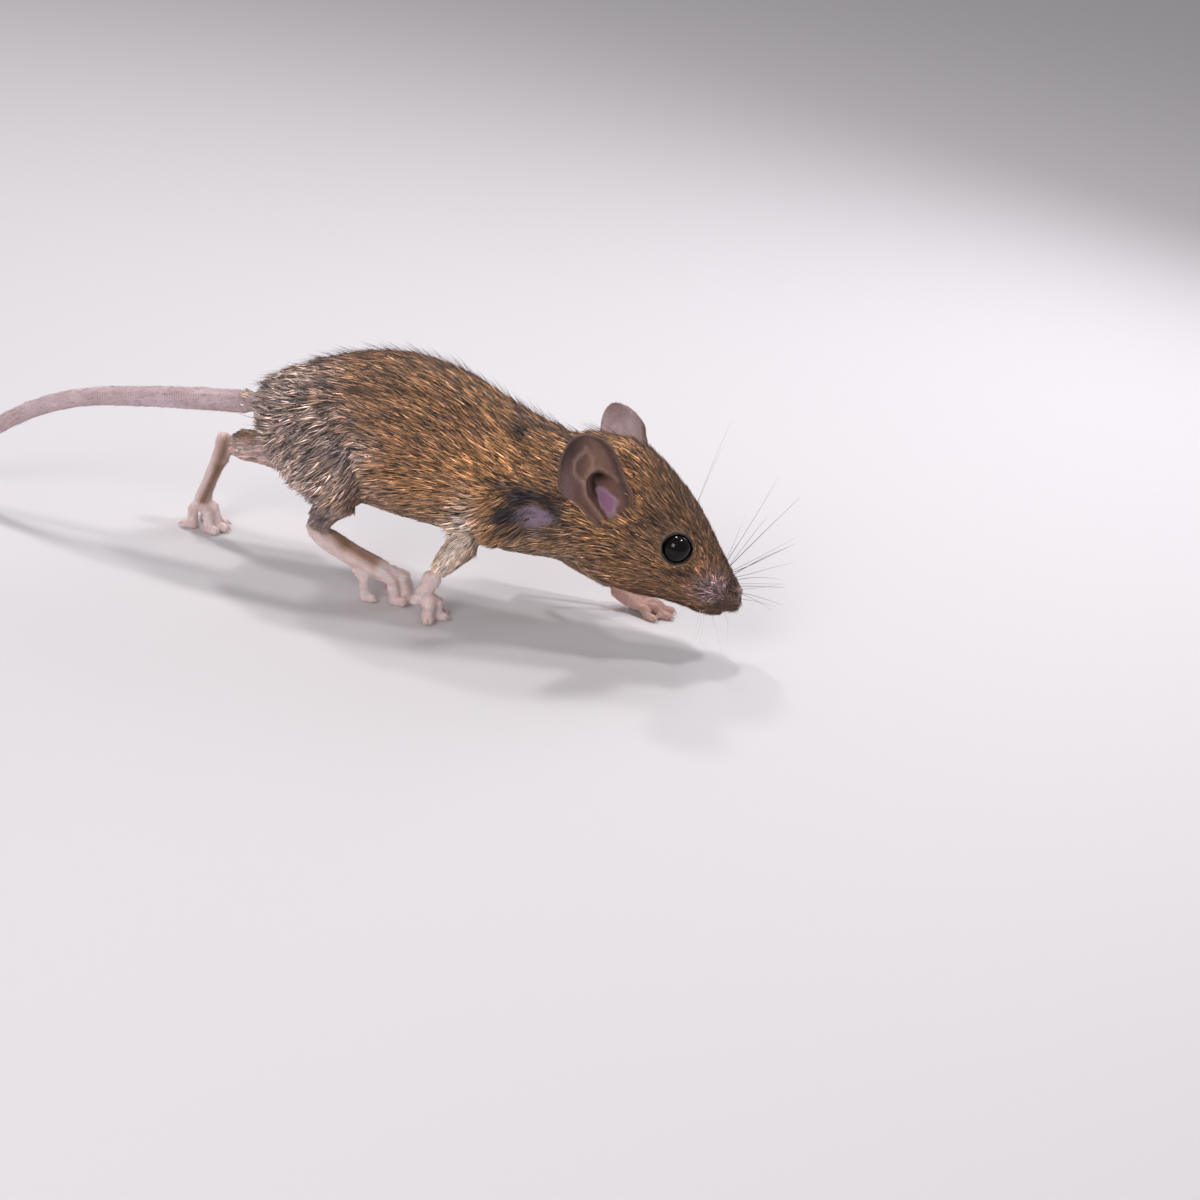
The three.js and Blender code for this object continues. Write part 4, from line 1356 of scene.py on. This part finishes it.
def tuft_mesh(name, rings, tips, colours, maps):
    """A mesh of closed three-sided spindles.

    rings has the corners of each ring, from root to top: (tufts, rings, 3, xyz).
    tips has the points: (tufts, xyz). colours has one colour for each ring and the tip,
    and maps has the root's place on the unwrapped skin, from 0 to 1.
    """
    count, levels = rings.shape[:2]
    size = levels * 3 + 1
    points = np.concatenate([rings.reshape(count, levels * 3, 3), tips[:, None]], axis=1)
    points[:, :, 2] = np.maximum(points[:, :, 2], FLOOR_SPACE)
    sides = [
        (level * 3 + i, level * 3 + (i + 1) % 3, level * 3 + 3 + (i + 1) % 3, level * 3 + 3 + i)
        for level in range(levels - 1)
        for i in range(3)
    ]
    last = (levels - 1) * 3
    triangles = [(2, 1, 0)] + [(last + i, last + (i + 1) % 3, size - 1) for i in range(3)]
    pattern = np.array([corner for face in sides + triangles for corner in face])
    lengths = np.array([4] * len(sides) + [3] * len(triangles))
    corners = (pattern[None] + np.arange(count)[:, None] * size).ravel()
    totals = np.tile(lengths, count)
    mesh = bpy.data.meshes.new(name)
    mesh.vertices.add(count * size)
    mesh.vertices.foreach_set("co", in_frame(points.reshape(-1, 3)).astype(np.float32).ravel())
    mesh.loops.add(len(corners))
    mesh.loops.foreach_set("vertex_index", corners.astype(np.int32))
    mesh.polygons.add(len(totals))
    starts = np.concatenate([[0], np.cumsum(totals)[:-1]])
    mesh.polygons.foreach_set("loop_start", starts.astype(np.int32))
    mesh.polygons.foreach_set("use_smooth", np.zeros(len(totals), bool))
    shades = np.concatenate([np.repeat(colours[:, :levels], 3, axis=1), colours[:, levels:]], axis=1)
    layer = mesh.color_attributes.new("paint", "FLOAT_COLOR", "POINT")
    shades = np.concatenate([shades, np.ones((count, size, 1))], axis=2)
    layer.data.foreach_set("color", shades.astype(np.float32).ravel())
    level_of = np.append(np.repeat(np.arange(levels), 3), levels) / levels
    across = np.append(np.tile([0, 0.5, 1], levels), 0.5)
    patch = maps[:, None] + PATCH * np.stack([across - 0.5, level_of - 0.5], axis=1)[None]
    uv = mesh.uv_layers.new(name="OFBake")
    uv.data.foreach_set("uv", patch.reshape(-1, 2)[corners].astype(np.float32).ravel())
    mesh.update(calc_edges=True)
    mesh.validate()
    return mesh


print("a tuft's patch on its map is", PATCH, "wide")

# %% Rings and tips of the tufts
FLATNESS = 0.2


def spindles(roots, steps, across, widths, levels):
    """Rings and tips of spindles that follow a line of steps, in millimetres."""
    rings = []
    spot = roots
    flat = unit(np.cross(across, steps[0]))
    for step, level in zip(steps, levels):
        half = across * (widths * level / 2)[:, None]
        thick = flat * (widths * level * FLATNESS)[:, None]
        rings.append(np.stack([spot + half - thick, spot + 2 * thick, spot - half - thick], axis=1))
        spot = spot + step
    return np.stack(rings, axis=1), spot


print("a tuft is", round(3 * FLATNESS, 1), "times as thick as it is wide")

# %% [markdown]
# ## Where the tufts grow
# Roots are scattered over the skin by chance, more of them where the hair is short: that
# is on the face and the legs. Each one takes the skin's direction and the lie of the coat
# at its place.

# %% Scatter the roots
dice = np.random.default_rng(20260)


def grow_places(density):
    """Random roots on the skin, with so many to a square millimetre at each point."""
    triangles = np.concatenate([faces[:, [0, 1, 2]], faces[:, [0, 2, 3]]])
    corners = points[triangles]
    doubled = np.cross(corners[:, 1] - corners[:, 0], corners[:, 2] - corners[:, 0])
    area = np.linalg.norm(doubled, axis=1) / 2
    weight = area * density[triangles].mean(axis=1)
    total = np.cumsum(weight)
    count = int(total[-1])
    chosen = np.searchsorted(total, dice.random(count) * total[-1])
    a, b = dice.random((2, count))
    over = a + b > 1
    a[over], b[over] = 1 - a[over], 1 - b[over]
    shares = np.stack([1 - a - b, a, b], axis=1)
    return triangles[chosen], shares


def at_roots(values, places):
    """Values of the skin's points, carried to the roots."""
    triangles, shares = places
    if values.ndim == 1:
        return np.sum(values[triangles] * shares, axis=1)
    return np.sum(values[triangles] * shares[:, :, None], axis=1)


def grow(density):
    """Hair over the skin: its places, and the point, outward direction and lie at each."""
    places = grow_places(density)
    return places, at_roots(points, places), unit(at_roots(outward, places)), unit(at_roots(lie, places))


x = points[:, 0]
on_feet_and_tail = np.maximum(foot, tail * ease(-17.5, -21.5, x))
furry = (1 - ease(0.1, 0.6, on_feet_and_tail)) * (ear < 0.3) * (lid < 0.2)
furry = furry * (1 - 0.85 * ease(0.3, 0.6, bare_share(points))) * (1 - nose_share(points))
short = np.maximum(ease(44, 50, x), ease(0.3, 0.6, leg))
density = 17 + 8 * ease(42, 50, x) + 18 * ease(56, 61, x) + 14 * leg
places, roots, root_out, root_lie = grow(density * furry)
root_leg = at_roots(leg, places)
root_foot = at_roots(foot, places)
root_short = at_roots(short, places)
print(len(roots), "tufts")

# %% [markdown]
# ## Length, lift and clumps
# The hair is long on the rump and back and shrinks to a velvet on the muzzle. It lies
# close on the flanks and stands up more along the back. On the damp rump whole groups of
# tufts lean together into points, with dark gaps between them, so each tuft follows a
# leader near it, and the leader's pull is strongest there.

# %% Length and width of the tufts
LENGTHS = {"back": 3.0, "head": 2.5, "muzzle": 1.3, "leg": 1.7}
x = roots[:, 0]
rump = rump_share(roots)
head_share = ease(38, 50, x)
muzzle_share = ease(56, 63, x)
top = ease(0.3, 0.9, root_out[:, 2])
below = ease(0.0, -0.6, root_out[:, 2])
length = LENGTHS["back"] + 0.6 * rump + 0.3 * top - 0.5 * below
length += (LENGTHS["head"] - length) * head_share
length += (LENGTHS["muzzle"] - length) * muzzle_share
length += (LENGTHS["leg"] - length) * root_leg
haunch = mark(roots, (0.0, -8.0, 15.0), (8, 6, 5)) + mark(roots, (-20.0, 8.0, 18.0), (7, 5, 5))
length *= 1 - 0.35 * np.clip(haunch, 0, 1)
length *= 1 - 0.35 * mark(roots, (-22.0, 8.0, 17.5), (3.5, 5, 4))
length *= 1 - 0.7 * ease(0.0, 0.35, root_foot)
for eye in EYES.values():
    length *= 1 - 0.6 * ease(4.6, 3.0, np.linalg.norm(roots - eye["middle"], axis=1))
near_ear_skin = at_roots(soften(ear, edges, 25), places)
length *= 1 - 0.35 * ease(0.02, 0.3, near_ear_skin)
tail_root = mark(roots, (-17.5, 0.0, 28.0), (3.6, 4.2, 4.2))
length *= 1 - 0.3 * np.clip(tail_root, 0, 1) - 0.35 * at_roots(tail, places)
length *= 1 - 0.75 * ease(0.1, 0.6, bare_share(roots + root_lie * 2.2))
length *= dice.uniform(0.75, 1.2, len(roots))
width = (0.066 + 0.025 * length + 0.012 * rump) * dice.uniform(0.65, 1.3, len(roots))
print("tufts from", round(float(length.min()), 2), "to", round(float(length.max()), 2), "mm long")

# %% Lift, sway and leaders
LONGEST_PULL = 1.7


def turned(first, second, angle):
    """Directions turned from the first towards the second by an angle for each."""
    angle = angle[:, None]
    return np.cos(angle) * first + np.sin(angle) * second


lift = np.radians(16 + 7 * top - 3 * below + 3 * rump * (1 - below) + 3 * head_share + 10 * muzzle_share)
lift *= dice.uniform(0.6, 1.4, len(roots)) * (1 - 0.8 * tail_root)
sway = np.radians(9 + 4 * rump + 14 * muzzle_share) * dice.normal(size=len(roots))
pull = 0.40 + 0.28 * rump - 0.14 * top * (1 - rump) - 0.05 * head_share - 0.15 * muzzle_share
leaders = np.flatnonzero(dice.random(len(roots)) < 0.13 - 0.075 * rump - 0.02 * below)
tree = KDTree(len(leaders))
for number, leader in enumerate(leaders):
    tree.insert(roots[leader], number)
tree.balance()
leader_of = leaders[[tree.find(root)[1] for root in (roots + root_lie * 0.5).tolist()]]

side = np.cross(root_out, root_lie)
flow = turned(root_lie, side, sway)
low_half = turned(flow, root_out, lift)
high_half = turned(flow, root_out, lift * 0.45)
start = roots - root_out * np.minimum(0.12, 0.04 * length)[:, None]
free_tip = start + (low_half + high_half) * (length / 2)[:, None]
lead_tip = free_tip[leader_of]
too_far = np.linalg.norm(lead_tip - free_tip, axis=1) > LONGEST_PULL
pull = np.where(too_far, 0.1, pull)
bend = (lead_tip - free_tip) * pull[:, None]
low_step = low_half * (length / 2)[:, None] + 0.35 * bend
high_step = high_half * (length / 2)[:, None] + 0.65 * bend
print(len(leaders), "leaders")

# %% [markdown]
# ## Ticking
# Most tufts take the marking's colour in their middle. Chance decides which are pale,
# which are tipped with black and which are dark altogether, and a group under one leader
# shares its shade, so the coat breaks into streaks instead of a speckle.

# %% Colours of the tufts
band = blend(coat_colour(roots, root_out), PINK * 0.85, 0.6 * ease(0.02, 0.4, root_foot))
group_shade = dice.normal(size=len(roots))[leader_of]
own_shade = dice.normal(size=len(roots))
spread = 0.47 + 0.15 * head_share - 0.33 * root_leg
shade = np.exp(0.22 * group_shade + spread * own_shade - spread**2 / 3)
warmth = dice.normal(size=(len(roots), 1)) * np.array([0.04, 0.0, -0.08])
band = band * shade[:, None] * (1 + warmth)
dark_chance = 0.19 + 0.05 * top * (1 - head_share) + 0.01 * rump - 0.06 * below + 0.11 * head_share
dark_chance = dark_chance - 0.15 * root_leg + 0.08 * ease(31, 36, x) * ease(48, 42, x)
group_dark = dice.random(len(roots))[leader_of] < 0.11 * rump
dark = (dice.random(len(roots)) < dark_chance) | (group_dark & (dice.random(len(roots)) < 0.8))
pale = ~dark & (dice.random(len(roots)) < 0.25 + 0.07 * head_share)
tipped = dice.random(len(roots)) < 0.28 + 0.12 * top - 0.2 * below
dark_colour = blend(np.tile(BLACK * 2.6, (len(roots), 1)), SLATE * 1.2, rump)
band = np.where(dark[:, None], dark_colour * shade[:, None], band)
band = np.where(pale[:, None], band * (1.52 + 0.22 * head_share)[:, None] + 0.03, band)
# the roots are slate as in real underfur, and kept darker still as painted shade in the gaps between the
# tufts
slate_share = 0.55 - 0.1 * head_share - 0.5 * root_leg
root_colour = blend(band * (0.32 + 0.4 * root_leg)[:, None], SLATE * 0.65, slate_share)
tip_colour = np.where(tipped[:, None], band * 0.35 + BLACK, band * 1.25)
tuft_paint = np.stack([root_colour, band, tip_colour], axis=1)
print("dark tufts:", round(float(dark.mean()), 2), "of all")

# %% [markdown]
# ## Pieces of the coat
# A piece stays small enough to bake and print, so the coat is cut along the spine. The
# map of each piece is an unwrap of the skin under it: along the spine one way and round
# it the other, and every tuft keeps one small patch where it grows.

# %% Coat material
coat_material = simple_material("coat", (0.4, 0.25, 0.12), 0.62)
coat_shader = coat_material.node_tree.nodes["Principled BSDF"]
coat_shader.inputs["Specular IOR Level"].default_value = 0.25
coat_shader.inputs["Sheen Weight"].default_value = 0.12
coat_shader.inputs["Sheen Roughness"].default_value = 0.5
shade_of_coat = ranged(coat_material, noise(coat_material, 600, 3, (-700, 100)), 0.8, 1.2, (-500, 150))
painted = read(coat_material, "paint", "Color", (-500, 400))
coat_tint = multiplied(coat_material, painted, shade_of_coat, (-250, 300))
coat_material.node_tree.links.new(coat_tint, coat_shader.inputs["Base Color"])
print("coat finish:", len(coat_material.node_tree.nodes), "nodes")

# %% Make the pieces of the coat
FEWEST_TUFTS = 50
COAT_CUTS = {
    "coat_rump": -6.5, "coat_hips": 0.5, "coat_loins": 7.0, "coat_ribs": 14.5, "coat_chest": 22.5,
    "coat_shoulders": 30.0, "coat_neck": 37.0, "coat_nape": 42.5, "coat_crown": 47.0, "coat_brow": 52.0,
    "coat_cheeks": 57.5, "coat_muzzle": 99.0,
}


def skin_map(spots, line):
    """The place of points on an unwrapped map: along a line, and round it."""
    along, heading, _ = tape(spots, line)
    centre = np.stack([np.interp(along, passed_along(line), line[:, i]) for i in range(3)], axis=1)
    arm = spots - centre
    side_way = unit(np.cross((0, 0, 1), heading))
    over = np.cross(heading, side_way)
    around = np.arctan2(np.sum(arm * side_way, axis=1), np.sum(arm * over, axis=1)) / (2 * math.pi) + 0.5
    share = (along - along.min()) / max(along.max() - along.min(), 1e-6)
    return 0.005 + 0.99 * np.stack([share, around], axis=1)


def coat_piece(name, roots, rings, tips, paint, line=SPINE):
    """One piece of the coat, riding on the mouse."""
    if len(roots) < FEWEST_TUFTS:
        return
    mesh = tuft_mesh(name, rings, tips, paint, skin_map(roots, line))
    mesh.materials.append(coat_material)
    piece = new_object(name, mesh)
    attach(piece, "root")
    print(name, "has", sum(len(face.vertices) - 2 for face in mesh.polygons), "triangles")


is_short = dice.random(len(roots)) < root_short
long_rings, long_tips = spindles(start, (low_step, high_step), side, width, (0.7, 1.0))
short_rings, short_tips = spindles(start, (low_step + high_step,), side, width * 1.15, (1.0,))
short_paint = np.stack([root_colour + 0.55 * (band - root_colour), tip_colour], axis=1)
behind = -999
for name, cut in COAT_CUTS.items():
    here = (x > behind) & (x <= cut)
    long, short = here & ~is_short, here & is_short
    coat_piece(name, roots[long], long_rings[long], long_tips[long], tuft_paint[long])
    coat_piece(name + "_short", roots[short], short_rings[short], short_tips[short], short_paint[short])
    behind = cut

# %% [markdown]
# ## Down on the bare parts
# Feet, tail and ears look bare, but each carries a thin down. It is tiny on the feet, runs
# in sparse hairs along the tail, and catches the light on the rims of the ears. A hair
# there is one straight spindle.

# %% Down on feet, tail and ears
DOWN = {
    "coat_feet": {
        "area": foot * ease(-0.6, 0.1, outward[:, 2]), "density": 26, "length": 0.75, "width": 0.085,
        "lift": 13, "shades": (0.85, 1.3), "line": SPINE,
    },
    "coat_tail": {
        "area": tail, "density": 5, "length": 1.1, "width": 0.055,
        "lift": 11, "shades": (0.3, 1.25), "line": TAIL,
    },
    "coat_ears": {
        "area": ear, "density": 9, "length": 0.55, "width": 0.05,
        "lift": 16, "shades": (0.7, 2.2), "line": SPINE,
    },
}
for name, plan in DOWN.items():
    places, down_roots, out, flow = grow(plan["area"] * plan["density"] * (lid < 0.2))
    count = len(down_roots)
    side = np.cross(out, flow)
    flow = turned(flow, side, np.radians(12) * dice.normal(size=count))
    rise = np.radians(plan["lift"]) * dice.uniform(0.4, 1.7, count)
    step = plan["length"] * dice.uniform(0.6, 1.3, (count, 1)) * turned(flow, out, rise)
    rings, tips = spindles(down_roots - 0.03 * out, (step,), side, np.full(count, plan["width"]), (1.0,))
    shade = dice.uniform(*plan["shades"], (count, 1, 1))
    paint = np.repeat(at_roots(skin_paint, places)[:, None], 2, axis=1) * shade
    coat_piece(name, down_roots, rings, tips, np.minimum(paint, 0.85), plan["line"])

# %% [markdown]
# ## Guard hairs
# Longer, darker single hairs stand out of the coat along the back. They soften its outline
# against the light. They are the same spindles, only steeper, longer and very thin.

# %% Guard hairs
GUARD = {"density": 0.95, "length": (3.8, 5.8), "width": 0.075, "lift": (20, 38), "sway": 12}
along_back = ease(50, 40, points[:, 0]) * ease(-17, -13, points[:, 0]) * ease(22, 28, points[:, 2])
guard_area = furry * ease(-0.2, 0.5, outward[:, 2]) * along_back
places, guard_roots, out, flow = grow(GUARD["density"] * guard_area)
guard_count = len(guard_roots)
rise = np.radians(dice.uniform(*GUARD["lift"], guard_count))
side = np.cross(out, flow)
flow = turned(flow, side, np.radians(GUARD["sway"]) * dice.normal(size=guard_count))
half = dice.uniform(*GUARD["length"], guard_count)[:, None] / 2
steps = (turned(flow, out, rise) * half, turned(flow, out, rise * 0.6) * half)
widths = np.full(guard_count, GUARD["width"])
guard_rings, guard_tips = spindles(guard_roots, steps, side, widths, (0.9, 1.0))
guard_shade = dice.uniform(0.6, 1.6, guard_count)[:, None, None]
guard_paint = np.tile(np.stack([SLATE, BLACK * 3.5, BLACK * 2.0]), (guard_count, 1, 1)) * guard_shade
coat_piece("coat_guard_hairs", guard_roots, guard_rings, guard_tips, guard_paint)

# %% [markdown]
# ## Whiskers
# Whiskers are stiff bristles that taper to nothing. The upper ones are dark and reach
# forwards and up, and the lower ones are white and hang to the floor. Each one is a ring
# extruded along a curve through a few points.

# %% Whiskers
WHISKERS = [
    ("dark", 0.10, [(62.6, 2.0, 14.6), (64.3, 3.2, 18.4), (67.2, 6.0, 25.8), (68.9, 9.0, 30.4)]),
    ("dark", 0.07, [(62.8, 2.2, 15.4), (63.8, 3.2, 18.4), (64.9, 6.5, 23.6)]),
    ("dark", 0.15, [(63.0, 2.0, 14.0), (66.1, 4.4, 18.2), (69.6, 7.4, 22.7), (73.1, 11.0, 26.9)]),
    ("dark", 0.13, [(62.6, 1.8, 13.4), (67.0, 4.2, 15.6), (70.6, 6.8, 17.5), (73.9, 9.4, 19.2)]),
    ("dark", 0.09, [(62.6, 1.8, 13.6), (67.4, 4.8, 16.4), (73.9, 10.0, 20.1)]),
    ("dark", 0.10, [(62.8, 1.8, 12.9), (67.4, 4.0, 14.3), (71.1, 6.6, 15.3), (74.2, 9.0, 15.9)]),
    ("dark", 0.11, [(62.9, 1.4, 12.6), (66.6, 3.0, 13.7), (69.6, 4.8, 13.9), (72.7, 6.5, 13.5)]),
    ("dark", 0.08, [(63.4, -1.4, 11.6), (67.0, -2.0, 12.3), (70.0, -3.0, 12.9), (73.0, -4.6, 13.4)]),
    ("pale", 0.06, [(65.6, -1.0, 10.2), (66.9, -1.4, 9.5), (69.0, -2.4, 8.7), (71.4, -3.8, 7.3)]),
    ("pale", 0.10, [(61.0, -3.6, 11.0), (61.0, -4.6, 9.5), (60.9, -6.2, 6.9), (60.2, -9.0, 1.5)]),
    ("pale", 0.10, [(61.6, -3.6, 10.8), (61.5, -4.4, 9.5), (61.4, -5.7, 6.4), (60.6, -7.5, 2.9)]),
    ("pale", 0.08, [(62.0, -3.4, 10.6), (61.8, -4.3, 9.5), (62.0, -5.1, 6.4), (62.0, -6.0, 4.4)]),
    ("pale", 0.11, [(62.8, -3.0, 10.6), (62.9, -3.7, 9.5), (64.6, -4.6, 6.2), (65.6, -5.3, 4.0),
                    (65.9, -6.2, 0.4)]),
    ("pale", 0.06, [(64.8, -1.4, 10.2), (65.1, -1.8, 9.4), (65.9, -2.6, 7.4)]),
    ("pale", 0.07, [(59.4, -3.8, 11.2), (58.6, -4.9, 10.2), (56.8, -7.5, 8.5)]),
    ("pale", 0.06, [(49.2, -3.6, 10.4), (49.2, -4.5, 8.5), (49.2, -5.1, 6.9), (49.4, -5.6, 5.2)]),
    ("pale", 0.06, [(41.8, -3.6, 13.6), (41.8, -4.5, 11.8), (42.1, -5.3, 9.4)]),
    ("dark", 0.06, [(56.9, -3.4, 25.0), (57.2, -3.6, 27.4), (58.6, -5.0, 34.7), (59.8, -6.6, 39.6)]),
]


def rounded(corners, steps):
    """A smooth line through a few corners, by cubic curves between them."""
    ends = [2 * corners[0] - corners[1], *corners, 2 * corners[-1] - corners[-2]]
    line = []
    for a, b, c, d in zip(ends, ends[1:], ends[2:], ends[3:]):
        for share in np.linspace(0, 1, steps, endpoint=False):
            flow = (c - a) * share + (2 * a - 5 * b + 4 * c - d) * share**2
            flow += (3 * b - a - 3 * c + d) * share**3
            line.append(b + 0.5 * flow)
    return np.array(line + [corners[-1]])


whisker_shades = {"dark": (0.045, 0.032, 0.034), "pale": (0.85, 0.80, 0.80)}
for kind, shade in whisker_shades.items():
    bristles = bmesh.new()
    for bristle_kind, thickness, corners in WHISKERS:
        if bristle_kind != kind:
            continue
        for line in (np.array(corners), np.array(corners) * RIGHT_TO_LEFT):
            curve = rounded(list(line), 5)
            sweep(bristles, curve, thickness / 2 * np.linspace(1, 0.2, len(curve)), 5)
    bmesh.ops.recalc_face_normals(bristles, faces=bristles.faces)
    finish = simple_material(f"whisker_{kind}", shade, 0.35)
    piece_of(f"whiskers_{kind}", bristles, finish)
print(2 * len(WHISKERS), "whiskers")
